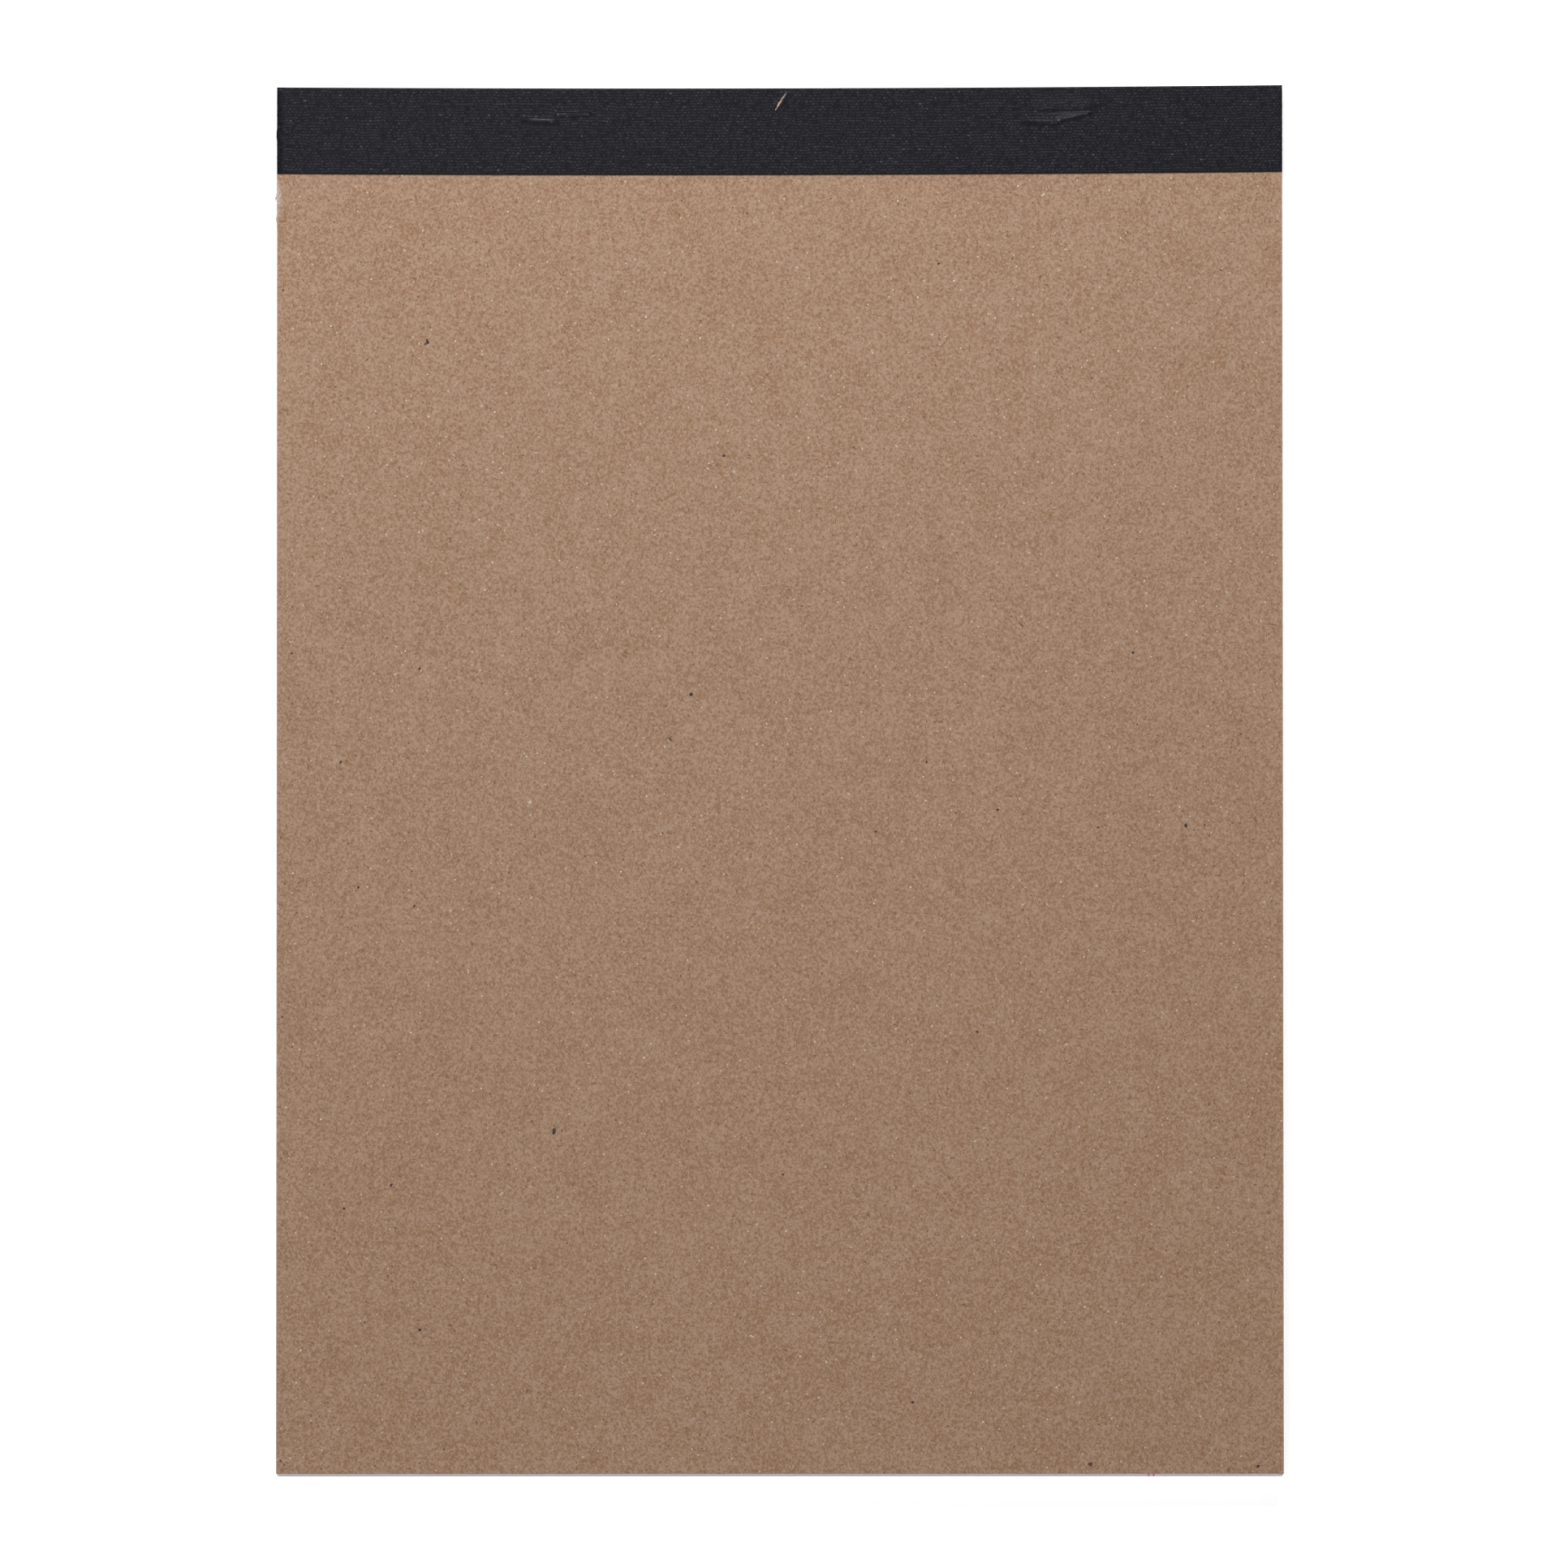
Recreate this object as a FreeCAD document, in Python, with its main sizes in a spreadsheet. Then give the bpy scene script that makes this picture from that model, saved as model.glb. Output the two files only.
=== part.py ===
import FreeCAD, Part
import math
import os
import Sketcher

FULL_TURN = 360
QUARTER_TURN = 90
START, END, CENTRE = range(1, 4)

# Letter-size legal pad lying face down: fifty ruled sheets and a chipboard back, joined by two
# clinched wire staples and one folded strip of cloth tape over the head.
# Millimetres and degrees. +Z is up, +Y points to the taped head, and the origin is at the
# middle of the pad on the surface it lies on.
doc = FreeCAD.newDocument("legal_pad")

# Driving dimensions
DIMENSIONS = {
    # outline: an 11 in sheet tears off a 3/4 in stub
    "pad_width": 215.9,
    "pad_length": 298.45,
    "stub_length": 19.05,
    # sheets
    "sheet_count": 50,
    "sheet_thickness": 0.104,
    "foot_skew": 0.25,
    "page_corner_radius": 0.7,
    "lift_count": 24,
    "lift_line_width": 0.06,
    "lift_line_depth": 0.08,
    # perforated tear line
    "perforation_length": 1.8,
    "perforation_tie": 0.7,
    "perforation_width": 0.15,
    # chipboard
    "board_thickness": 0.8,
    "board_corner_radius": 0.4,
    # tape
    "tape_thickness": 0.2,
    "fold_radius": 0.18,
    "tape_back_flap": 18.7,
    "tape_front_flap": 18.7,
    "tent_reach": 1.6,
    # torn slit in the tape's back flap
    "tear_x": 0.4,
    "tear_from_head": 2.66,
    "tear_length": 5.1,
    "tear_width": 0.6,
    "tear_lean": 31,
    # staples
    "wire_width": 0.7,
    "wire_height": 0.5,
    "crown_length": 14,
    "crown_from_head": 6.4,
    "crown_proud": 0.15,
    "clinch_length": 6.7,
    "clinch_sunk": 0.2,
    "wire_clearance": 0.05,
    "left_staple_x": -47.9,
    "left_staple_turn": 4.3,
    "left_staple_near_clinch": -3,
    "left_staple_far_clinch": 1,
    "right_staple_x": 59.5,
    "right_staple_turn": 7,
    "right_staple_near_clinch": -1.2,
    "right_staple_far_clinch": 13.5,
}

# Levels and places that follow from the driving dimensions
FOLLOWING = {
    "front_flap_level": "sizes.crown_proud + sizes.wire_clearance",
    "rebate_level": "front_flap_level + sizes.tape_thickness",
    "page_top": "sizes.sheet_count * sizes.sheet_thickness",
    "board_top": "page_top + sizes.board_thickness",
    "tape_head": "sizes.pad_length / 2",
    "stack_head": "tape_head - sizes.tape_thickness",
    "front_foot": "-sizes.pad_length / 2",
    "board_foot": "front_foot + sizes.foot_skew",
    "half_width": "sizes.pad_width / 2",
    "half_wire_width": "sizes.wire_width / 2",
    "half_wire_height": "sizes.wire_height / 2",
    "bend_radius": "half_wire_height + 3 * sizes.wire_clearance",
    "crown_y": "tape_head - sizes.crown_from_head",
    "crown_level": "rebate_level - sizes.crown_proud + half_wire_height",
    "clinch_level": "board_top - sizes.clinch_sunk + half_wire_height",
    "bend_level": "clinch_level - bend_radius",
    "tent_half_top": "half_wire_width + sizes.wire_clearance",
    "tent_run": "sizes.tent_reach - tent_half_top",
    "crown_tent_rise": "sizes.crown_proud + sizes.wire_clearance",
    "crown_tent_slope": "atan(crown_tent_rise / tent_run)",
    "clinch_tent_rise": "sizes.wire_height - sizes.clinch_sunk + sizes.wire_clearance",
    "clinch_tent_slope": "atan(clinch_tent_rise / tent_run)",
    "lift_pitch": "page_top / (sizes.lift_count + 1)",
    "perforation_pitch": "sizes.perforation_length + sizes.perforation_tie",
    "perforation_count": "floor((sizes.pad_width - sizes.perforation_tie) / perforation_pitch)",
}

STAPLES = ("left_staple", "right_staple")


def fill(sheet, cells):
    """Puts each named value in a row of its own, with its name beside it."""
    for row, (name, value) in enumerate(cells.items(), start=1):
        sheet.set(f"A{row}", name)
        sheet.set(f"B{row}", str(value))
        sheet.setAlias(f"B{row}", name)


sizes = doc.addObject("Spreadsheet::Sheet", "sizes")
fill(sizes, DIMENSIONS)
places = doc.addObject("Spreadsheet::Sheet", "places")
fill(places, {name: f"={formula}" for name, formula in FOLLOWING.items()})
doc.recompute()


def worth(obj, expression):
    """What an expression comes to now, as a plain number."""
    return float(obj.evalExpression(expression))


def bind(obj, **properties):
    """Ties properties of a feature to expressions."""
    for name, expression in properties.items():
        obj.setExpression(name, expression)


def new_body(label):
    body = doc.addObject("PartDesign::Body", label)
    body.Label = label
    return body


def new_sketch(body, name, plane, offset=None, turn=None, upright=False):
    """A sketch on one of the body's own planes, moved by (x, y, z) expressions in that plane's
    axes and turned by an angle about its normal, or about its vertical axis if upright."""
    sketch = body.newObject("Sketcher::SketchObject", name)
    origin_plane = next(f for f in body.Origin.OriginFeatures if f.Role == plane)
    sketch.AttachmentSupport = [(origin_plane, "")]
    sketch.MapMode = "FlatFace"
    axis = FreeCAD.Vector(0, 1, 0) if upright else FreeCAD.Vector(0, 0, 1)
    sketch.AttachmentOffset = FreeCAD.Placement(FreeCAD.Vector(), FreeCAD.Rotation(axis, 1))
    for letter, expression in zip("xyz", offset or ("0", "0", "0")):
        sketch.setExpression(f".AttachmentOffset.Base.{letter}", expression)
    sketch.setExpression(".AttachmentOffset.Rotation.Angle", turn or "0")
    return sketch


def cross_section(body, name, place, turn, level="0"):
    """A sketch on an upright plane that faces in the direction of turn."""
    across, along = place
    return new_sketch(body, name, "YZ_Plane", (along, level, across), turn, upright=True)


def pin(sketch, edge, end, across=None, up=None):
    """Holds one end of an edge at a distance across and up from the sketch's origin."""
    for kind, expression in (("DistanceX", across), ("DistanceY", up)):
        if expression is not None:
            value = worth(sketch, expression)
            number = sketch.addConstraint(Sketcher.Constraint(kind, -1, 1, edge, end, value))
            sketch.setExpression(f"Constraints[{number}]", expression)


def set_radius(sketch, edge, expression):
    value = worth(sketch, expression)
    number = sketch.addConstraint(Sketcher.Constraint("Radius", edge, value))
    sketch.setExpression(f"Constraints[{number}]", expression)


def spot(sketch, across, up):
    return FreeCAD.Vector(worth(sketch, across), worth(sketch, up), 0)


def draw_outline(sketch, corners):
    """A closed outline of straight edges through corners given as pairs of expressions."""
    first = sketch.GeometryCount
    points = [spot(sketch, *corner) for corner in corners]
    for start, end in zip(points, points[1:] + points[:1]):
        sketch.addGeometry(Part.LineSegment(start, end))
    for number, corner in enumerate(corners):
        following = first + (number + 1) % len(corners)
        sketch.addConstraint(Sketcher.Constraint("Coincident", first + number, END, following, START))
        pin(sketch, first + number, START, *corner)


def draw_box(sketch, left, foot, right, head):
    draw_outline(sketch, [(left, foot), (right, foot), (right, head), (left, head)])


def draw_arc(sketch, centre, radius, begin, finish):
    """An arc whose centre and radius are held, from one angle round to another."""
    middle = spot(sketch, *centre)
    circle = Part.Circle(middle, FreeCAD.Vector(0, 0, 1), worth(sketch, radius))
    arc = Part.ArcOfCircle(circle, math.radians(begin), math.radians(finish))
    edge = sketch.addGeometry(arc)
    pin(sketch, edge, CENTRE, *centre)
    set_radius(sketch, edge, radius)
    return edge


def new_feature(body, kind, name, profile, **bound):
    feature = body.newObject(f"PartDesign::{kind}", name)
    feature.Profile = profile
    bind(feature, **bound)
    return feature


def round_corners(body, name, radius, is_corner):
    """Rounds the upright edges that is_corner picks by their middle."""
    doc.recompute()
    base = body.Tip
    edges = []
    for number, edge in enumerate(base.Shape.Edges, start=1):
        low = edge.BoundBox
        stands = low.ZLength > max(low.XLength, low.YLength)
        if stands and is_corner(edge.CenterOfMass):
            edges.append(f"Edge{number}")
    fillet = body.newObject("PartDesign::Fillet", name)
    fillet.Base = (base, edges)
    bind(fillet, Radius=radius)
    return fillet


# Staple wire: straight stretches and quarter bends of one flat section
ADDING = ("Pad", "Revolution")
CUTTING = ("Pocket", "Groove")
NEAR, FAR = -1, 1


def hole_place(staple, side, along_crown="0"):
    """Where a leg goes through the pad, or a point that far along the crown from it."""
    reach = f"({side} * sizes.crown_length / 2 - {side} * {along_crown})"
    across = f"sizes.{staple}_x + {reach} * cos(sizes.{staple}_turn)"
    along = f"places.crown_y + {reach} * sin(sizes.{staple}_turn)"
    return across, along


def moved(place, turn, reach):
    """The place that far away in the direction of turn."""
    across, along = place
    return f"{across} + ({reach}) * cos({turn})", f"{along} + ({reach}) * sin({turn})"


def crown_turn(staple, side):
    """The direction along the crown, away from the leg on that side."""
    return f"{90 + 90 * side} + sizes.{staple}_turn"


def clinch_turn(staple, side):
    """The direction that a clinched leg points in, as an angle from +X."""
    return f"sizes.{staple}_near_clinch" if side == NEAR else f"180 + sizes.{staple}_far_clinch"


def straight(body, name, kinds, spare, place, turn, level, length):
    """A level stretch of wire that runs in the direction of turn, spare larger on every side."""
    section = cross_section(body, f"{name}_section", place, turn, level)
    half_width = f"(places.half_wire_width + {spare})"
    half_height = f"(places.half_wire_height + {spare})"
    draw_box(section, f"-{half_width}", f"-{half_height}", half_width, half_height)
    stretch = new_feature(body, kinds[0], name, section, Length=length)
    stretch.Reversed = kinds is CUTTING


def upright_section(body, name, spare, place, turn, level):
    """The section of wire that stands upright at a place, its thin side along turn."""
    section = new_sketch(body, f"{name}_section", "XY_Plane", (*place, level), turn)
    half_width = f"(places.half_wire_width + {spare})"
    half_height = f"(places.half_wire_height + {spare})"
    draw_box(section, f"-{half_height}", f"-{half_width}", half_height, half_width)
    return section


def bend(body, name, kinds, spare, place, turn, level, downward):
    """A quarter bend that starts upright at a level and leads into the direction of turn."""
    section = upright_section(body, name, spare, place, turn, level)
    side = worth(section, "places.bend_radius")
    line = Part.LineSegment(FreeCAD.Vector(side, 0, 0), FreeCAD.Vector(side, side, 0))
    centre_line = section.addGeometry(line, True)
    pin(section, centre_line, START, "places.bend_radius", "0")
    pin(section, centre_line, END, "places.bend_radius", "places.bend_radius")
    quarter = new_feature(body, kinds[1], name, section)
    quarter.ReferenceAxis = (section, ["Axis0"])
    quarter.Angle = QUARTER_TURN
    quarter.Reversed = downward


def run_crown(body, staple, kinds, spare="0"):
    """The crown on the front and the bend at each of its ends."""
    name = f"{staple}_crown"
    start = hole_place(staple, NEAR, "places.bend_radius")
    length = "sizes.crown_length - 2 * places.bend_radius"
    straight(body, name, kinds, spare, start, f"sizes.{staple}_turn", "places.crown_level", length)
    level = "places.crown_level + places.bend_radius"
    for side in (NEAR, FAR):
        turn = crown_turn(staple, side)
        bend(body, f"{name}_bend", kinds, spare, hole_place(staple, side), turn, level, downward=True)


def run_legs(body, staple, kinds, spare="0"):
    """The two legs, from the clinched bends down to the crown's bends."""
    name = f"{staple}_leg"
    turn = f"sizes.{staple}_turn"
    length = "places.bend_level - places.crown_level - places.bend_radius"
    for side in (NEAR, FAR):
        hole = hole_place(staple, side)
        section = upright_section(body, name, spare, hole, turn, "places.bend_level")
        stretch = new_feature(body, kinds[0], name, section, Length=length)
        stretch.Reversed = kinds is ADDING


def run_clinches(body, staple, kinds, spare="0"):
    """The two leg ends bent over on the back."""
    name = f"{staple}_clinch"
    length = f"sizes.clinch_length - places.bend_radius + {spare}"
    for side in (NEAR, FAR):
        turn = clinch_turn(staple, side)
        hole = hole_place(staple, side)
        bend(body, f"{name}_bend", kinds, spare, hole, turn, "places.bend_level", downward=False)
        start = moved(hole, turn, "places.bend_radius")
        straight(body, name, kinds, spare, start, turn, "places.clinch_level", length)


# Tape raised over a wire: each face gives the surface under the tape, the way out of the pad,
# and the height and slope of the tent
BACK = ("places.board_top", "+", "places.clinch_tent_rise", "places.clinch_tent_slope")
FRONT = ("places.rebate_level", "-", "places.crown_tent_rise", "places.crown_tent_slope")


def raise_tent(body, name, run, face, kinds, cover):
    """A tent over a straight run of wire: a flat top, sloping flanks and a round end at each end
    of the run. cover is how far it lies outside the hollow that clears the wire."""
    start, turn, length = run
    ground, outward, rise, slope = face
    crest = f"{ground} {outward} ({rise} + {cover})"
    half_top = f"places.tent_half_top + {cover} * tan({slope} / 2)"
    foot = f"sizes.tent_reach + {cover} / sin({slope})"
    section = cross_section(body, f"{name}_section", start, turn)
    corners = [(f"-({foot})", ground), (foot, ground), (half_top, crest), (f"-({half_top})", crest)]
    draw_outline(section, corners)
    middle = new_feature(body, kinds[0], name, section, Length=length)
    middle.Reversed = kinds is CUTTING
    for place in (start, moved(start, turn, length)):
        half_section = cross_section(body, f"{name}_end_section", place, turn)
        draw_outline(half_section, [("0", ground), (foot, ground), (half_top, crest), ("0", crest)])
        round_end = new_feature(body, kinds[1], f"{name}_end", half_section)
        round_end.ReferenceAxis = (half_section, ["V_Axis"])
        round_end.Angle = FULL_TURN


def wire_runs(staple):
    """Each straight run of a staple that lies under tape, as (name, run, face)."""
    near = hole_place(staple, NEAR)
    far = hole_place(staple, FAR)
    yield "crown_tent", (near, f"sizes.{staple}_turn", "sizes.crown_length"), FRONT
    yield "near_tent", (near, clinch_turn(staple, NEAR), "sizes.clinch_length"), BACK
    yield "far_tent", (far, clinch_turn(staple, FAR), "sizes.clinch_length"), BACK


# Page block: fifty sheets cut square in one stroke, which leaves the front sheet's foot a little proud
pages = new_body("page_block")
side_profile = new_sketch(pages, "page_side_profile", "YZ_Plane")
flap_end = "places.tape_head - sizes.tape_front_flap"
draw_outline(
    side_profile,
    [
        ("places.front_foot", "0"),
        ("places.board_foot", "places.page_top"),
        ("places.stack_head", "places.page_top"),
        ("places.stack_head", "places.rebate_level"),
        (flap_end, "places.rebate_level"),
        (flap_end, "0"),
    ],
)
stack = new_feature(pages, "Pad", "page_stack", side_profile, Length="sizes.pad_width")
stack.SideType = "Symmetric"
round_corners(pages, "page_corners", "sizes.page_corner_radius", lambda middle: middle.y < 0)
for name in STAPLES:
    run_crown(pages, name, CUTTING, "sizes.wire_clearance")
    run_legs(pages, name, CUTTING, "sizes.wire_clearance")

# Perforation: a row of slits through every sheet, where a sheet tears off its stub
slit = new_sketch(pages, "perforation_slit", "XY_Plane")
row_length = "(places.perforation_count - 1) * places.perforation_pitch"
slit_left = f"-(sizes.perforation_length + {row_length}) / 2"
slit_y = "places.tape_head - sizes.stub_length"
draw_box(
    slit,
    slit_left,
    f"{slit_y} - sizes.perforation_width / 2",
    f"{slit_left} + sizes.perforation_length",
    f"{slit_y} + sizes.perforation_width / 2",
)
first_slit = new_feature(pages, "Pocket", "first_perforation", slit, Length="places.page_top")
first_slit.Reversed = True
perforation = pages.newObject("PartDesign::LinearPattern", "perforation")
perforation.Originals = [first_slit]
perforation.Direction = (slit, ["H_Axis"])
bind(perforation, Length=row_length, Occurrences="places.perforation_count")
pages.Tip = perforation

# Lift lines: fine grooves round the three open edges, where one lift of sheets meets the next
lift = new_sketch(pages, "lift_line", "XY_Plane", ("0", "0", "places.lift_pitch - sizes.lift_line_width / 2"))
outside = "(places.half_width + sizes.lift_line_depth)"
inside = "(places.half_width - sizes.lift_line_depth)"
lift_foot = "places.front_foot + sizes.foot_skew / (sizes.lift_count + 1)"
draw_outline(
    lift,
    [
        (f"-{outside}", "places.tape_head"),
        (f"-{outside}", "places.front_foot - sizes.lift_line_depth"),
        (outside, "places.front_foot - sizes.lift_line_depth"),
        (outside, "places.tape_head"),
        (inside, "places.tape_head"),
        (inside, f"{lift_foot} + sizes.lift_line_depth"),
        (f"-{inside}", f"{lift_foot} + sizes.lift_line_depth"),
        (f"-{inside}", "places.tape_head"),
    ],
)
first_line = new_feature(pages, "Pocket", "first_lift_line", lift, Length="sizes.lift_line_width")
first_line.Reversed = True
lift_lines = pages.newObject("PartDesign::LinearPattern", "lift_lines")
lift_lines.Originals = [first_line]
lift_lines.Direction = (side_profile, ["Edge1"])
bind(
    lift_lines,
    Length="(sizes.lift_count - 1) * hypot(places.lift_pitch; sizes.foot_skew / (sizes.lift_count + 1))",
    Occurrences="sizes.lift_count",
)
pages.Tip = lift_lines

# Backing board: grey-brown chipboard with the staple legs pushed through and sunk into its back
board = new_body("backing_board")
outline = new_sketch(board, "board_outline", "XY_Plane", ("0", "0", "places.page_top"))
draw_box(outline, "-places.half_width", "places.board_foot", "places.half_width", "places.stack_head")
new_feature(board, "Pad", "board_sheet", outline, Length="sizes.board_thickness")
round_corners(board, "board_corners", "sizes.board_corner_radius", lambda middle: middle.y < 0)
for name in STAPLES:
    run_legs(board, name, CUTTING, "sizes.wire_clearance")
    run_clinches(board, name, CUTTING, "sizes.wire_clearance")

# Binding tape: one strip of cloth tape folded over the head and raised over the staples
tape = new_body("binding_tape")
fold = new_sketch(tape, "tape_fold", "YZ_Plane")
back_face = "places.board_top + sizes.tape_thickness"
draw_outline(
    fold,
    [
        ("places.tape_head - sizes.tape_back_flap", "places.board_top"),
        ("places.stack_head", "places.board_top"),
        ("places.stack_head", "places.rebate_level"),
        (flap_end, "places.rebate_level"),
        (flap_end, "places.front_flap_level"),
        ("places.tape_head", "places.front_flap_level"),
        ("places.tape_head", back_face),
        ("places.tape_head - sizes.tape_back_flap", back_face),
    ],
)
strip = new_feature(tape, "Pad", "tape_strip", fold, Length="sizes.pad_width")
strip.SideType = "Symmetric"
doc.recompute()
folded_edges = [
    f"Edge{number}"
    for number, edge in enumerate(strip.Shape.Edges, start=1)
    if edge.BoundBox.XLength > worth(tape, "places.half_width")
    and edge.CenterOfMass.y > worth(tape, "places.stack_head + sizes.tape_thickness / 2")
]
fold_bends = tape.newObject("PartDesign::Fillet", "fold_bends")
fold_bends.Base = (strip, folded_edges)
bind(fold_bends, Radius="sizes.fold_radius")
for kinds, cover in ((ADDING, "sizes.tape_thickness"), (CUTTING, "0")):
    for name in STAPLES:
        for run_name, run, face in wire_runs(name):
            raise_tent(tape, f"{name}_{run_name}", run, face, kinds, cover)

# Tear: a slit shaped like a willow leaf that opens the back flap beside the head
tear = new_sketch(
    tape, "tear_outline", "XY_Plane", ("sizes.tear_x", "places.tape_head - sizes.tear_from_head", back_face),
    turn="-sizes.tear_lean",
)
lip_radius = "(sizes.tear_length^2 + sizes.tear_width^2) / (4 * sizes.tear_width)"
lip_centre = f"({lip_radius} - sizes.tear_width / 2)"
lip_half = math.degrees(math.asin(worth(tear, "sizes.tear_length / 2") / worth(tear, lip_radius)))
right_lip = draw_arc(tear, (f"-{lip_centre}", "0"), lip_radius, -lip_half, lip_half)
left_lip = draw_arc(tear, (lip_centre, "0"), lip_radius, 180 - lip_half, 180 + lip_half)
tear.addConstraint(Sketcher.Constraint("Coincident", right_lip, END, left_lip, START))
tear.addConstraint(Sketcher.Constraint("Coincident", left_lip, END, right_lip, START))
new_feature(tape, "Pocket", "tear", tear, Length="sizes.tape_thickness")

# Staples: flat steel wire, pushed in from the front and clinched side by side on the back
for name in STAPLES:
    staple = new_body(f"staple_{name.removesuffix('_staple')}")
    run_crown(staple, name, ADDING)
    run_legs(staple, name, ADDING)
    run_clinches(staple, name, ADDING)

doc.recompute()
for item in doc.Objects:
    if {"Invalid", "Error"} & set(item.State):
        raise RuntimeError(f"{item.Label} failed: {item.State} {item.getStatusString()}")
pieces = [item for item in doc.Objects if item.TypeId == "PartDesign::Body"]
for piece in pieces:
    if piece.Shape.isNull() or not piece.Shape.isValid():
        raise RuntimeError(f"{piece.Label} has no valid shape")
os.makedirs("parts", exist_ok=True)
for piece in pieces:
    piece.Shape.exportStep(f"parts/{piece.Label}.step")
    print(piece.Label, len(piece.Shape.Solids), round(piece.Shape.Volume, 3), piece.Shape.BoundBox)
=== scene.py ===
import bmesh
import bpy
import math
import random
from mathutils import Matrix, Vector, noise


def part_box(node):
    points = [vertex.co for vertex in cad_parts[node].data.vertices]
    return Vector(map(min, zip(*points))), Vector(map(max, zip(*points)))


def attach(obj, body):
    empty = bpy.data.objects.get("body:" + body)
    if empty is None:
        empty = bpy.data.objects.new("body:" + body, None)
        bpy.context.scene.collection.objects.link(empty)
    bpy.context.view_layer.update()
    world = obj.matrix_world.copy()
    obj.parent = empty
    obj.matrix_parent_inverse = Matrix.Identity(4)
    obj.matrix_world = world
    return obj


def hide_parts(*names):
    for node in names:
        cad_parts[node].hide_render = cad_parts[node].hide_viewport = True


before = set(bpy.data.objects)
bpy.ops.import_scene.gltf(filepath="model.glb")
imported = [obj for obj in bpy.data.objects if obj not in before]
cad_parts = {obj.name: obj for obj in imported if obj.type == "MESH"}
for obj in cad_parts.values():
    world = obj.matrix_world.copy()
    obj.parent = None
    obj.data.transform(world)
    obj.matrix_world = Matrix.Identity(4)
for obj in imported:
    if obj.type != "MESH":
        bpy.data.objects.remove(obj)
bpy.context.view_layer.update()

# Writing sheets: fifty letter-size sheets of white bond, printed with blue rules and a double red
# margin. The stack is cut square in one stroke, which leaves the front sheet's foot a little proud,
# and the staples press the stubs together above the row of slits where a sheet tears off.
MM = 0.001
SHEET_COUNT = 50
SHEET_FILL = 0.93
SHEET_SLIP = 0.03 * MM
SHEET_CORNER = 0.7 * MM
CORNER_STEPS = 5
BEND_START = 1.3 * MM
BEND_STEPS = (0.34, 0.66)
HEAD_STATIONS = 24
HEAD_SET, HEAD_LEAN, HEAD_BOW = -0.195 * MM, 0.21 * MM, 0.44 * MM
HEAD_SHIFT_FROM, HEAD_SHIFT_FADE = 100 * MM, 20 * MM
SLIT_LENGTH = 1.8 * MM
SLIT_TIE = 0.7 * MM
SLIT_WIDTH = 0.15 * MM
STUB_LENGTH = 19.05 * MM
STUB_RISE = 0.4 * MM
HOLE_CLEARANCE = 0.04 * MM

sheets_low, sheets_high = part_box("page_block")
board_low, board_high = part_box("backing_board")
tape_low, tape_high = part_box("binding_tape")
slit_y = tape_high.y - STUB_LENGTH


class Nodes:
    """A node tree, with short calls for the nodes that go into it."""

    def __init__(self, owner):
        owner.use_nodes = True
        self.tree = owner.node_tree

    def add(self, kind, inputs=None, **settings):
        """A new node of that kind, with its settings, and with its inputs set or linked."""
        node = self.tree.nodes.new(f"ShaderNode{kind}")
        for name, value in settings.items():
            setattr(node, name, value)
        for socket, value in (inputs or {}).items():
            self.feed(node.inputs[socket], value)
        return node

    def feed(self, socket, value):
        """Links an input to another node's output, or sets it to a plain value."""
        if isinstance(value, bpy.types.NodeSocket):
            self.tree.links.new(value, socket)
        else:
            socket.default_value = value

    def calc(self, operation, *values):
        """One step of arithmetic, such as MULTIPLY or FLOOR."""
        node = self.add("Math", dict(enumerate(values)), operation=operation)
        return node.outputs[0]

    def between(self, value, start, finish):
        """0 up to start, 1 from finish on, and smooth in between."""
        inputs = {"Value": value, "From Min": start, "From Max": finish}
        return self.add("MapRange", inputs, interpolation_type="SMOOTHSTEP").outputs["Result"]

    def mix(self, share, first, second, blend="MIX"):
        """The first colour at a share of 0, the second at 1."""
        node = self.add("Mix", {"Factor": share}, data_type="RGBA", blend_type=blend)
        self.feed(node.inputs[6], first)
        self.feed(node.inputs[7], second)
        return node.outputs[2]

    def place(self):
        """Where a point of the surface lies, in millimetres."""
        where = self.add("TexCoord").outputs["Object"]
        return self.add("Mapping", {"Vector": where, "Scale": [1 / MM] * 3}).outputs["Vector"]

    def tint(self, tone, colour, mask, most=1.0):
        """The tone drawn towards a colour where the mask says, and by no more than that share."""
        return self.mix(self.calc("MULTIPLY", mask, most), tone, colour)

    def cloud(self, where, scale, detail=2.0, roughness=0.5):
        """Soft noise about 0.5; a larger scale makes it finer."""
        inputs = {"Vector": where, "Scale": scale, "Detail": detail, "Roughness": roughness}
        return self.add("TexNoise", inputs).outputs["Fac"]


class Finish(Nodes):
    """A material: the same short calls, with a shader that they feed."""

    def __init__(self, name, **sockets):
        self.material = bpy.data.materials.new(name)
        super().__init__(self.material)
        self.shader = self.tree.nodes["Principled BSDF"]
        for socket, value in sockets.items():
            self.shader.inputs[socket.replace("_", " ")].default_value = value

    def colour(self, value):
        self.feed(self.shader.inputs["Base Color"], value)

    def raise_by(self, height, distance, strength=1.0):
        """Lets the light fall as if the surface stood up by that height."""
        bump = self.add("Bump", {"Height": height, "Distance": distance, "Strength": strength})
        self.feed(self.shader.inputs["Normal"], bump.outputs["Normal"])


def smooth(share):
    """0 up to 0, 1 from 1 on, and smooth in between."""
    share = min(max(share, 0.0), 1.0)
    return share * share * (3 - 2 * share)


def head_shift(x, y):
    """The head is cut a little out of square and bowed: how far it lies beyond its true line."""
    share = x / sheets_high.x
    shift = HEAD_SET + HEAD_LEAN * share + HEAD_BOW * share * share
    return shift * smooth((y - HEAD_SHIFT_FROM) / HEAD_SHIFT_FADE)


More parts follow.
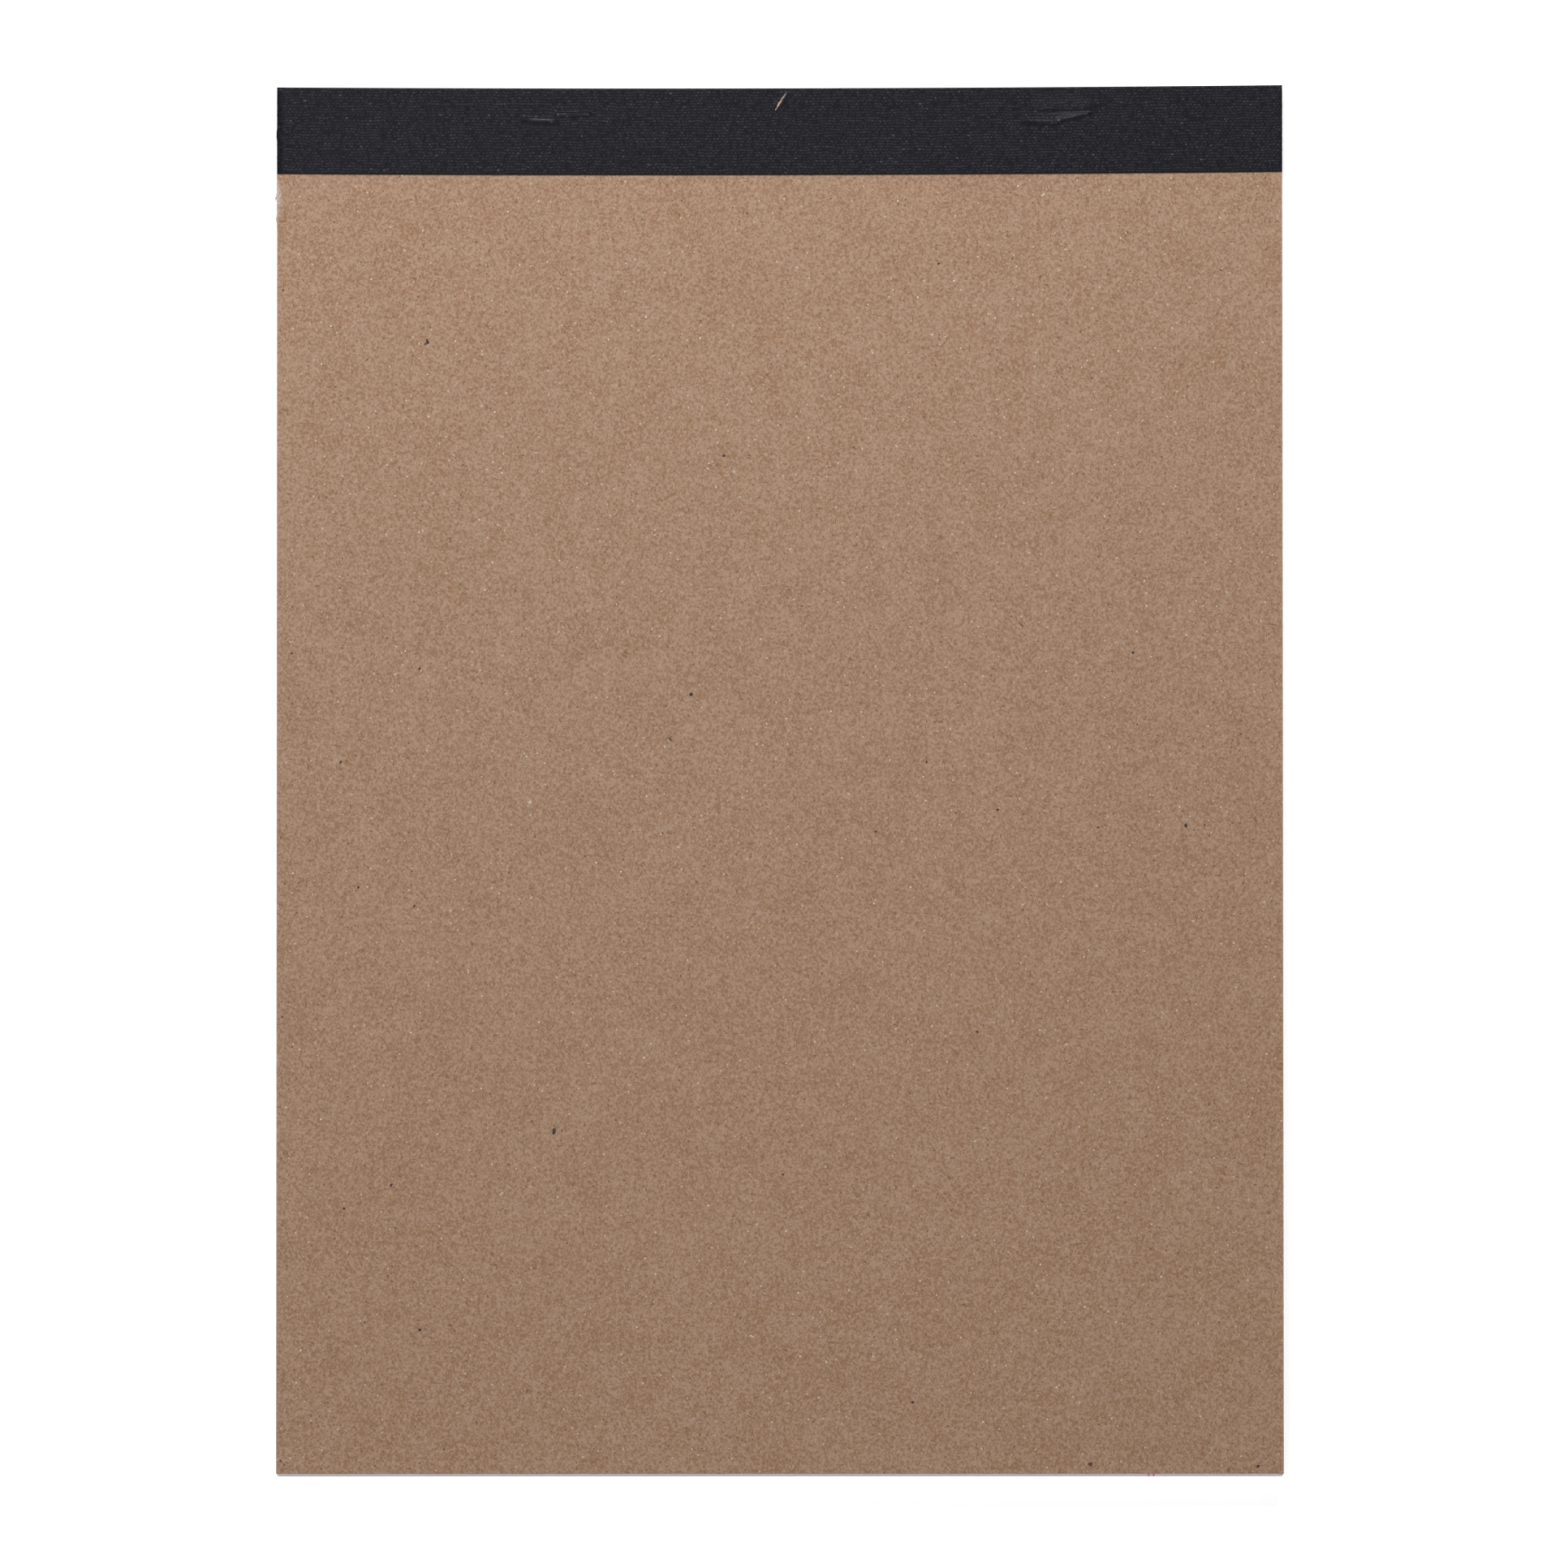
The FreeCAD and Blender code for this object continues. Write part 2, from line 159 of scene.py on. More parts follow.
def new_piece(name, points, faces, finish, slot, *nodes):
    """A closed mesh that rides on the pad, with the given finish, and stands for the given nodes, which it
    hides; the slot is not used.
    """
    mesh = bpy.data.meshes.new(name)
    mesh.from_pydata(points, [], faces)
    mesh.validate()
    solid = bmesh.new()
    solid.from_mesh(mesh)
    bmesh.ops.recalc_face_normals(solid, faces=solid.faces)
    solid.to_mesh(mesh)
    solid.free()
    piece = bpy.data.objects.new(name, mesh)
    bpy.context.scene.collection.objects.link(piece)
    mesh.materials.append(finish.material)
    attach(piece, "root")
    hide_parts(*nodes)
    return piece


def round_corner(x, y, side, radius):
    """Points round a foot corner of an outline; side is -1 at the left and 1 at the right."""
    turns = [math.pi / 2 * step / CORNER_STEPS for step in range(CORNER_STEPS + 1)]
    if side > 0:
        turns = turns[::-1]
    return [
        (x - side * radius * (1 - math.cos(turn)), y + radius * (1 - math.sin(turn)))
        for turn in turns
    ]


class SheetPlan:
    """The outline of one sheet seen from above, as faces that leave the slits open."""

    def __init__(self):
        self.points = []
        self.faces = []
        self.known = {}

    def point(self, x, y):
        """The number of the point at that place, which is made only once."""
        key = (round(x, 8), round(y, 8))
        if key not in self.known:
            self.known[key] = len(self.points)
            self.points.append((x, y))
        return self.known[key]

    def face(self, corners):
        self.faces.append([self.point(*corner) for corner in corners])

    def rims(self):
        """Edges that belong to one face alone."""
        edges = {}
        for face in self.faces:
            for start, end in zip(face, face[1:] + face[:1]):
                edges.setdefault(frozenset((start, end)), []).append((start, end))
        return [runs[0] for runs in edges.values() if len(runs) == 1]


def plan_sheet():
    """One sheet's plan: blunted foot corners, a bend at the stub, the slits, and the bowed head."""
    plan = SheetPlan()
    left, right = sheets_low.x, sheets_high.x
    slit_foot, slit_head = slit_y - SLIT_WIDTH / 2, slit_y + SLIT_WIDTH / 2
    pitch = SLIT_LENGTH + SLIT_TIE
    slit_count = math.floor((right - left - SLIT_TIE) / pitch)
    first = -(slit_count * pitch - SLIT_TIE) / 2
    slits = [(first + number * pitch, first + number * pitch + SLIT_LENGTH) for number in range(slit_count)]
    ends = [x for slit in slits for x in slit]
    bend_foot = tape_low.y - BEND_START
    rows = [bend_foot, *(bend_foot + share * (slit_foot - bend_foot) for share in BEND_STEPS)]
    stations = [left + (right - left) * number / HEAD_STATIONS for number in range(HEAD_STATIONS + 1)]

    def strip(low, high, foot_stations, head_stations):
        plan.face([(x, low) for x in foot_stations] + [(x, high) for x in reversed(head_stations)])

    foot_left = round_corner(left, sheets_low.y, -1, SHEET_CORNER)
    foot_right = round_corner(right, sheets_low.y, 1, SHEET_CORNER)
    plan.face([*foot_left, *foot_right, *((x, rows[0]) for x in reversed(stations))])
    for low, high in zip(rows, rows[1:]):
        strip(low, high, stations, stations)
    strip(rows[-1], slit_foot, stations, [left, *ends, right])
    for start, finish in zip([left, *ends[1::2]], [*ends[0::2], right]):
        strip(slit_foot, slit_head, (start, finish), (start, finish))
    strip(slit_head, tape_low.y, [left, *ends, right], stations)
    strip(tape_low.y, sheets_high.y, stations, stations)
    return plan


def stack_sheets():
    """Every sheet as a thin closed slab, pressed closer together at the stub than below it."""
    plan = plan_sheet()
    rims = plan.rims()
    draw = random.Random(7)
    bend_foot = tape_low.y - BEND_START
    foot_lean = board_low.y - sheets_low.y
    narrower = 1 - SHEET_SLIP / sheets_high.x
    points, faces = [], []
    for number in range(SHEET_COUNT):
        slip_x = draw.uniform(-SHEET_SLIP, SHEET_SLIP)
        slip_y = draw.uniform(0, SHEET_SLIP) if number else 0
        start = len(points)
        for fill in (0, SHEET_FILL):
            depth = (number + fill) / SHEET_COUNT
            for x, y in plan.points:
                free_level = sheets_high.z * depth
                stub = STUB_RISE + (sheets_high.z - STUB_RISE) * depth
                bend = smooth((y - bend_foot) / (tape_low.y - bend_foot))
                level = free_level + (stub - free_level) * bend
                y += head_shift(x, y) if y > 0 else foot_lean * number / SHEET_COUNT + slip_y
                points.append((x * narrower + slip_x, y, level))
        top = start + len(plan.points)
        faces += [[start + corner for corner in reversed(face)] for face in plan.faces]
        faces += [[top + corner for corner in face] for face in plan.faces]
        faces += [[start + a, start + b, top + b, top + a] for a, b in rims]
    return points, faces


def cut_staple_holes(piece):
    """Opens the way of each staple, a little wider than its wire."""
    for node in ("staple_left", "staple_right"):
        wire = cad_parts[node]
        cutter = bpy.data.objects.new(f"{node}_hole", wire.data.copy())
        cutter.matrix_world = wire.matrix_world.copy()
        bpy.context.scene.collection.objects.link(cutter)
        wider = cutter.modifiers.new("wider", "DISPLACE")
        wider.strength = HOLE_CLEARANCE
        wider.mid_level = 0
        hole = piece.modifiers.new("staple_hole", "BOOLEAN")
        hole.operation = "DIFFERENCE"
        hole.solver = "EXACT"
        hole.object = cutter
        apply_modifiers(piece)
        bpy.data.objects.remove(cutter)


def apply_modifiers(piece):
    """Makes what the modifiers do the piece's own mesh."""
    bpy.context.view_layer.update()
    finished = bpy.data.meshes.new_from_object(piece.evaluated_get(bpy.context.evaluated_depsgraph_get()))
    piece.modifiers.clear()
    piece.data = finished


PAPER_WHITE = (0.82, 0.780, 0.815, 1)
PAPER_SHADE = (0.805, 0.765, 0.80, 1)
RULE_BLUE = (0.20, 0.38, 0.64, 1)
MARGIN_RED = (0.52, 0.07, 0.14, 1)
RULE_PITCH = 8.73
RULE_WIDTH = 0.36
HEADER = 27.0
MARGIN_RULES = (79.05, 80.1)
MARGIN_WIDTH = 0.36

paper = Finish("bond_paper", Roughness=0.72, Specular_IOR_Level=0.3)
paper_place = paper.place()
across, along, _ = paper.add("SeparateXYZ", {"Vector": paper_place}).outputs
fibre = paper.cloud(paper_place, 2.4, 4.0, 0.6)
tone = paper.mix(paper.between(paper.cloud(paper_place, 0.06, 2.0), 0.35, 0.65), PAPER_WHITE, PAPER_SHADE)
first_rule = slit_y / MM - HEADER
along_rules = paper.calc("PINGPONG", paper.calc("SUBTRACT", first_rule, along), RULE_PITCH / 2)
near_rule = paper.between(along_rules, RULE_WIDTH * 0.5, RULE_WIDTH * 0.3)
below_header = paper.calc("LESS_THAN", along, first_rule + RULE_PITCH / 4)
ink_break = paper.between(fibre, 0.3, 0.55)
blue = paper.calc("MULTIPLY", paper.calc("MULTIPLY", near_rule, below_header), ink_break)
tone = paper.mix(blue, tone, RULE_BLUE)
for place in MARGIN_RULES:
    off_rule = paper.calc("ABSOLUTE", paper.calc("SUBTRACT", across, place))
    red = paper.calc("MULTIPLY", paper.between(off_rule, MARGIN_WIDTH * 0.6, MARGIN_WIDTH * 0.4), ink_break)
    tone = paper.mix(red, tone, MARGIN_RED)
paper.colour(tone)
paper.raise_by(fibre, 0.01 * MM, 0.6)

writing_sheets = new_piece("writing_sheets", *stack_sheets(), paper, "writing_paper", "page_block")
cut_staple_holes(writing_sheets)

# Chipboard back: one sheet of grey-brown recycled board, glued to the last sheet under the tape.
# It is pressed from mixed waste, so specks and short fibres show in its face, and the guillotine
# leaves its cut edges soft, with a burr of torn fibre on the left one just below the tape.
BOARD_STEP = 2.0 * MM
EDGE_ROLL, ROLL_STEPS = 0.16 * MM, 3
UNDERSIDE_ROLL = 0.4
EDGE_FRAY = 0.035 * MM
BOARD_WAVE, WAVE_LENGTH = 0.03 * MM, 70 * MM
FLAT_RIM = 4 * MM
FRAY_RIM = 0.3 * MM
FRAY_LENGTH = MM / 0.9
BURR_Y = 125.4 * MM
BURR_REACH = 5.5 * MM
BURR_PROUD = 0.34 * MM
BURR_STEP = 0.17 * MM
BURR_ROWS = range(-34, 20)
BURR_UPPER_SHARE = 0.6
# Each tuft's place along the edge, its reach, and how proud it is.
BURR_TUFTS = ((0, 0.5 * MM, 1.0), (-4.6 * MM, 0.7 * MM, 0.5))
FRINGE_LENGTH = 0.5 * MM


def face_level(x, y):
    """The board's face is never quite flat, but for its edges."""
    inset = min(board_high.x - abs(x), board_high.y - y, y - board_low.y)
    wave = BOARD_WAVE * (noise.noise(Vector((x, y, 0)) / WAVE_LENGTH) - 0.6)
    return board_high.z + wave * smooth(inset / FLAT_RIM)


def edge_stations(low, high, step):
    """Positions from edge to edge: close together at each edge, a step apart in between."""
    turns = [math.pi / 2 * number / ROLL_STEPS for number in range(ROLL_STEPS + 1)]
    rim = [EDGE_ROLL * (1 - math.cos(turn)) for turn in turns]
    flat = high - low - 2 * EDGE_ROLL
    count = round(flat / step)
    inner = [low + EDGE_ROLL + flat * number / count for number in range(1, count)]
    return [low + inset for inset in rim] + inner + [high - inset for inset in reversed(rim)]


def burr_at(y):
    """How far the burr stands out of the left edge: its tufts, and a fringe between them."""
    tufts = sum(
        proud * math.exp(-(((y - BURR_Y - offset) / reach) ** 2)) for offset, reach, proud in BURR_TUFTS
    )
    fringe = 0.4 * math.exp(-(((y - BURR_Y) / BURR_REACH) ** 4))
    return BURR_PROUD * (tufts + fringe * (0.5 + noise.noise(Vector((y / FRINGE_LENGTH, 3, 0)))))


def press_board():
    """The board as one closed sheet: a waved face, rolled and frayed edges, and the burr."""
    columns = edge_stations(board_low.x, board_high.x, BOARD_STEP)
    rows = edge_stations(board_low.y, board_high.y, BOARD_STEP / 2)
    rows = sorted([*rows, *(BURR_Y + BURR_STEP * number for number in BURR_ROWS)])
    points, faces = [], []

    def drop(inset):
        """How far the face has rolled down at that distance from the edge."""
        share = 1 - min(inset / EDGE_ROLL, 1)
        return EDGE_ROLL * (1 - math.sqrt(1 - share * share))

    for face_up in (False, True):
        for y in rows:
            for x in columns:
                inset = min(x - board_low.x, board_high.x - x, y - board_low.y, board_high.y - y)
                sheet_side = 5 if face_up else 9
                fray = EDGE_FRAY * noise.noise(Vector((x / FRAY_LENGTH, y / FRAY_LENGTH, sheet_side)))
                rim = smooth(1 - inset / FRAY_RIM)
                out_x = fray * rim * (1 if x > 0 else -1)
                out_y = fray * rim * (1 if y > 0 else -1)
                if x < 0:
                    out_x -= burr_at(y) * rim * (BURR_UPPER_SHARE if face_up else 1)
                if face_up:
                    level = face_level(x, y) - drop(inset)
                else:
                    level = board_low.z + drop(inset) * UNDERSIDE_ROLL
                points.append((x + out_x, y + out_y + head_shift(x, y), level))
    width, layer = len(columns), len(columns) * len(rows)
    for row in range(len(rows) - 1):
        for column in range(width - 1):
            a = row * width + column
            faces.append((a, a + width, a + width + 1, a + 1))
            faces.append((layer + a, layer + a + 1, layer + a + width + 1, layer + a + width))
    rim = (
        list(range(width))
        + [row * width + width - 1 for row in range(1, len(rows))]
        + [layer - width + column for column in range(width - 2, -1, -1)]
        + [row * width for row in range(len(rows) - 2, 0, -1)]
    )
    faces += [(a, b, layer + b, layer + a) for a, b in zip(rim, rim[1:] + rim[:1])]
    return points, faces


KRAFT = (0.380, 0.236, 0.150, 1)
KRAFT_PALE = (0.472, 0.320, 0.226, 1)
KRAFT_DARK = (0.276, 0.149, 0.081, 1)
KRAFT_CLOUD = (0.344, 0.203, 0.122, 1)
KRAFT_FIBRE = (0.466, 0.334, 0.256, 1)
CUT_FIBRE = (0.60, 0.51, 0.47, 1)
CREAM = (0.78, 0.70, 0.59, 1)
BROWN_FIBRE = (0.130, 0.066, 0.034, 1)
FELT_TURNS = (12, 78)
DARK_STROKE, PALE_STROKE, STROKES_CROSS = (1.3, 0.26), (1.6, 0.3), 37
CUT_PALE, BURR_PALE = 0.3, 1.7

chipboard = Finish("chipboard_kraft", Roughness=0.88, Specular_IOR_Level=0.25)


def strokes(finish, where, turn, length, width):
    """Noise drawn out one way, like pulp fibres that lie side by side, from 0 to 1."""
    spin = {"Vector": where, "Rotation": (0, 0, math.radians(turn)), "Location": (3 * turn, turn, 0)}
    turned = finish.add("Mapping", spin).outputs["Vector"]
    drawn = finish.add("Mapping", {"Vector": turned, "Scale": (1 / length, 1 / width, 1)})
    return finish.cloud(drawn.outputs["Vector"], 1.0, 1.5, 0.6)


def specks(finish, where, spacing, radius, share, turn, stretch=1.0, bend=0.0):
    """Scattered spots, one to a cell of that spacing in millimetres, in that share of the cells;
    drawn out into fibres where stretch is over 1."""
    spin = {"Vector": where, "Rotation": (0, 0, math.radians(turn)), "Location": (turn, 3 * turn, 0)}
    turned = finish.add("Mapping", spin).outputs["Vector"]
    if bend:
        sway = finish.add("TexNoise", {"Vector": turned, "Scale": 0.9, "Detail": 1.0}).outputs["Color"]
        turned = finish.mix(bend, turned, sway, blend="ADD")
    squeeze = {"Vector": turned, "Scale": (1 / stretch, 1.0, 0.0)}
    drawn = finish.add("Mapping", squeeze).outputs["Vector"]
    cells = finish.add("TexVoronoi", {"Vector": drawn, "Scale": 1 / spacing}, voronoi_dimensions="2D")
    lot = finish.add("SeparateColor", {"Color": cells.outputs["Color"]}).outputs
    chosen = finish.calc("LESS_THAN", lot[0], share)
    radius /= spacing
    reach = finish.calc("MULTIPLY", finish.calc("ADD", lot[1], 0.5), radius)
    past_rim = finish.calc("SUBTRACT", cells.outputs["Distance"], reach)
    return finish.calc("MULTIPLY", finish.between(past_rim, 0.0, -0.6 * radius), chosen)


# Spacing, radius and share of the cells, turn, colour and strength.
SPECKS = (
    (1.6, 0.19, 0.24, 5, BROWN_FIBRE, 0.65),
    (1.9, 0.16, 0.2, 40, CREAM, 0.6),
    (6.0, 0.17, 0.25, 20, CREAM, 0.8),
)

board_place = chipboard.place()
clouds = chipboard.between(chipboard.cloud(board_place, 0.12, 4.0, 0.6), 0.35, 0.65)
tone = chipboard.mix(clouds, KRAFT, KRAFT_CLOUD)
felt = chipboard.cloud(board_place, 1.75, 3.0, 0.75)
tone = chipboard.tint(tone, KRAFT_PALE, chipboard.between(felt, 0.46, 0.66), 0.9)
tone = chipboard.tint(tone, KRAFT_DARK, chipboard.between(felt, 0.53, 0.34), 0.9)
relief = felt
for turn in FELT_TURNS:
    dark = chipboard.between(strokes(chipboard, board_place, turn, *DARK_STROKE), 0.56, 0.74)
    tone = chipboard.tint(tone, KRAFT_DARK, dark, 0.5)
    pale = strokes(chipboard, board_place, turn + STROKES_CROSS, *PALE_STROKE)
    pale = chipboard.between(pale, 0.55, 0.72)
    tone = chipboard.tint(tone, KRAFT_FIBRE, pale, 0.75)
    relief = chipboard.calc("SUBTRACT", chipboard.calc("ADD", relief, pale), dark)
for turn in FELT_TURNS:
    fibres = specks(chipboard, board_place, 0.62, 0.085, 0.12, turn, stretch=7.0, bend=1.3)
    tone = chipboard.tint(tone, BROWN_FIBRE, fibres, 0.55)
for spacing, radius, share, turn, colour, strength in SPECKS:
    spots = specks(chipboard, board_place, spacing, radius, share, turn)
    tone = chipboard.tint(tone, colour, spots, strength)

across, along, _ = chipboard.add("SeparateXYZ", {"Vector": board_place}).outputs
in_from_left = chipboard.calc("SUBTRACT", across, board_low.x / MM)
off_burr = chipboard.calc("ABSOLUTE", chipboard.calc("SUBTRACT", along, BURR_Y / MM))
torn = chipboard.between(off_burr, BURR_REACH / MM, 0.0)
torn = chipboard.calc("MULTIPLY", torn, chipboard.between(in_from_left, BURR_PALE, 0.0))
ragged = chipboard.calc("MULTIPLY_ADD", chipboard.between(felt, 0.42, 0.6), 0.75, 0.25)
torn = chipboard.calc("MULTIPLY", torn, ragged)
tone = chipboard.mix(torn, tone, CUT_FIBRE)
half_width = board_high.x / MM
cut_edge = chipboard.between(chipboard.calc("ABSOLUTE", across), half_width - CUT_PALE, half_width)
tone = chipboard.tint(tone, CUT_FIBRE, cut_edge, 0.7)
chipboard.colour(tone)
chipboard.raise_by(relief, 0.02 * MM, 0.6)

chipboard_back = new_piece("chipboard_back", *press_board(), chipboard, "chipboard", "backing_board")
cut_staple_holes(chipboard_back)

# Flecks: scraps of ink-dark, brown and pale waste that were pressed into the board's face when it
# was formed, each a flat crumb of its own shape that stands a hair above the fibres.
FLECK_RISE = 0.04 * MM
FLECK_CORNERS = 11
# Each fleck's place across and along, its length and width in millimetres, and its turn in degrees.
INK_FLECKS = (
    (-19.0, 18.4, 0.9, 0.75, 30),
    (-48.4, -75.5, 1.5, 0.8, 68),
    (-75.6, 94.4, 1.1, 0.85, 120),
    (-23.5, 8.8, 1.1, 0.35, 110),
    (102.4, -147.4, 0.85, 0.6, 40),
    (87.1, -9.8, 0.95, 0.6, 100),
    (46.7, -6.4, 0.75, 0.5, 10),
    (34.1, 111.2, 0.6, 0.4, 0),
    (-77.3, 24.0, 0.6, 0.45, 70),
    (20.6, -11.1, 0.6, 0.4, 20),
    (-83.3, -87.0, 0.8, 0.5, 50),
    (-93.4, -92.1, 0.6, 0.45, 0),
    (-90.4, -23.1, 0.65, 0.5, 85),
    (-94.2, 3.9, 0.8, 0.4, 60),
    (42.3, -54.1, 0.6, 0.4, 140),
    (0.7, -84.8, 0.6, 0.4, 15),
    (28.4, -133.7, 0.75, 0.5, 20),
    (-77.2, -118.1, 0.75, 0.55, 150),
    (-78.4, -27.1, 0.75, 0.35, 40),
    (-12.0, 69.8, 0.7, 0.5, 30),
    (-104.7, 27.3, 0.55, 0.45, 0),
    (75.8, 27.4, 0.7, 0.5, 45),
)
BROWN_FLECKS = (
    (-76.1, 93.9, 0.7, 0.45, 45),
    (31.5, 3.9, 0.7, 0.5, 60),
    (51.7, 33.5, 1.5, 0.3, 140),
    (66.5, -147.0, 1.1, 1.05, 0),
    (-107.0, -146.2, 0.6, 0.4, 90),
    (68.3, -10.2, 0.6, 0.45, 20),
    (91.1, -9.7, 0.5, 0.4, 80),
    (-70.6, -117.2, 0.5, 0.35, 10),
    (-106.6, 105.5, 0.5, 0.4, 90),
    (-106.6, -50.9, 0.5, 0.4, 60),
)
PAPER_FLECKS = (
    (-53.6, -4.8, 1.05, 0.7, 35),
    (-54.3, 5.1, 0.45, 0.4, 0),
    (-35.5, 1.2, 0.5, 0.45, 60),
    (-38.3, 1.1, 0.5, 0.4, 0),
    (-53.5, -7.5, 0.45, 0.35, 90),
)


def press_flecks(places):
    """The flecks of one colour as flat crumbs, high in the middle and sunk round the edge."""
    points, faces = [], []
    for number, (x, y, length, width, turn) in enumerate(places):
        start = len(points)
        turn = math.radians(turn)
        for corner in range(FLECK_CORNERS):
            angle = 2 * math.pi * corner / FLECK_CORNERS
            ragged = 1 + 0.5 * noise.noise(Vector((math.cos(angle), math.sin(angle), 3.7 * number)))
            out, side = length / 2 * math.cos(angle) * ragged, width / 2 * math.sin(angle) * ragged
            px = (x + out * math.cos(turn) - side * math.sin(turn)) * MM
            py = (y + out * math.sin(turn) + side * math.cos(turn)) * MM
            points.append((px, py, face_level(px, py) + FLECK_RISE / 4))
        middle = (x * MM, y * MM)
        points.append((*middle, face_level(*middle) + FLECK_RISE))
        points.append((*middle, face_level(*middle) - 2 * FLECK_RISE))
        crest = start + FLECK_CORNERS
        for corner in range(FLECK_CORNERS):
            beside = (corner + 1) % FLECK_CORNERS
            faces.append((start + corner, start + beside, crest))
            faces.append((start + beside, start + corner, crest + 1))
    return points, faces


def pressed_scrap(name, dark, worn):
    """A scrap of waste, worn through to fibre here and there."""
    scrap = Finish(name, Roughness=0.8, Specular_IOR_Level=0.25)
    worn_share = scrap.cloud(scrap.place(), 2.5, 4.0, 0.7)
    scrap.colour(scrap.mix(scrap.between(worn_share, 0.45, 0.7), dark, worn))
    scrap.raise_by(worn_share, 0.02 * MM)
    return scrap


ink_scrap = pressed_scrap("ink_dark_scrap", (0.042, 0.031, 0.032, 1), (0.120, 0.085, 0.070, 1))
brown_scrap = pressed_scrap("brown_scrap", (0.120, 0.046, 0.030, 1), (0.22, 0.12, 0.08, 1))
paper_scrap = pressed_scrap("paper_scrap", (0.59, 0.51, 0.43, 1), (0.41, 0.30, 0.22, 1))
new_piece("ink_flecks", *press_flecks(INK_FLECKS), ink_scrap, "chipboard")
new_piece("brown_flecks", *press_flecks(BROWN_FLECKS), brown_scrap, "chipboard")
new_piece("paper_flecks", *press_flecks(PAPER_FLECKS), paper_scrap, "chipboard")

# Staples: two pieces of flat galvanised wire, pushed through from the front and clinched side by
# side on the back. Both sit a little askew, and the tape covers them, so only their ridges show.
WIRE_HALF_WIDTH = 0.3 * MM
CROWN_LENGTH = 14 * MM
CLINCH_LENGTH = 6.7 * MM
CROWN_FROM_HEAD = 6.4 * MM
STAPLE_X = (-47.9 * MM, 59.5 * MM)
# In degrees: how far each crown is turned, and which way each of its two legs is clinched.
STAPLE_TURN = (4.3, 7.0)
CLINCH_TURNS = ((-3.0, 181.0), (-1.2, 193.5))
STEEL = (0.60, 0.60, 0.61, 1)
STEEL_DULL = (0.45, 0.45, 0.46, 1)

steel = Finish("galvanised_wire", Roughness=0.35, Metallic=1.0)
steel_place = steel.place()
spangle = steel.cloud(steel_place, 3.0, 4.0)
steel.colour(steel.mix(spangle, STEEL, STEEL_DULL))
steel.raise_by(spangle, 0.005 * MM)
for node in ("staple_left", "staple_right"):
    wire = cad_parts[node]
    wire.data.materials.clear()
    wire.data.materials.append(steel.material)


def towards(start, turn, reach):
    """The point that lies that far from the start, in that direction."""
    turn = math.radians(turn)
    return (start[0] + reach * math.cos(turn), start[1] + reach * math.sin(turn))


def wire_runs():
    """Each straight run of wire under the tape, as its two ends: crowns in front, clinches behind."""
    crowns, clinches = [], []
    for x, turn, leg_turns in zip(STAPLE_X, STAPLE_TURN, CLINCH_TURNS):
        middle = (x, tape_high.y - CROWN_FROM_HEAD)
        near = towards(middle, turn, -CROWN_LENGTH / 2)
        far = towards(middle, turn, CROWN_LENGTH / 2)
        crowns.append((near, far))
        for leg, leg_turn in zip((near, far), leg_turns):
            clinches.append((leg, towards(leg, leg_turn, CLINCH_LENGTH)))
    return crowns, clinches


CROWNS, CLINCHES = wire_runs()


def off_run(x, y, run):
    """How far a point lies from a run of wire, how far along it from 0 to 1, and on which side."""
    (ax, ay), (bx, by) = run
    length = (bx - ax) ** 2 + (by - ay) ** 2
    share = min(max(((x - ax) * (bx - ax) + (y - ay) * (by - ay)) / length, 0), 1)
    level_with = ay + share * (by - ay)
    return math.hypot(x - ax - share * (bx - ax), y - level_with), share, y > level_with


# Binding tape: one strip of black linen-finish cloth tape, glued over the head and folded down
# over the staples on both faces. The clinched wire tips push it up from below, and a leaf-shaped
# tear beside the head has opened its back flap down to the board.
TAPE_THICKNESS = 0.2 * MM
FOLD_RADIUS = 0.18 * MM
FOLD_STEPS = 5
FINE_STEP = 0.2 * MM
COARSE_STEP = 2.0 * MM
# Up to where along a flap, and how far apart its points lie there.
BACK_STEPS = ((138.2 * MM, 0.4 * MM), (145.2 * MM, 0.12 * MM), (150 * MM, 0.3 * MM))
FRONT_STEPS = ((139.6 * MM, 0.7 * MM), (146.2 * MM, 0.22 * MM), (150 * MM, 0.5 * MM))
BACK_RISE = 0.35 * MM
FRONT_RISE = 0.2 * MM
# How far beside a wire the tape comes down, and how hollow it hangs there.
TIGHT, SHEER, MILD = (0.5 * MM, 1.4), (0.3 * MM, 1.2), (0.8 * MM, 1.5)
# The tape's flanks above and below each clinch.
CLINCH_FLANKS = ((TIGHT, MILD), (TIGHT, SHEER), (TIGHT, MILD), (TIGHT, SHEER))
TIP_RISES = (0, 0.18 * MM, 0.04 * MM, 0.18 * MM)
TIP_START = 0.75
TIP_REACH = 0.9 * MM
# How pale each clinch's crest is drawn, as rubbed wear with a painted highlight on its head-lamp side, from
# where along it, and how pale its tip is.
HIGHLIGHT_AND_RUB = ((1.0, 0.1, 0.0), (0.7, 0.6, 0.9), (0.5, 0.1, 0.2), (0.5, 0.1, 1.0))
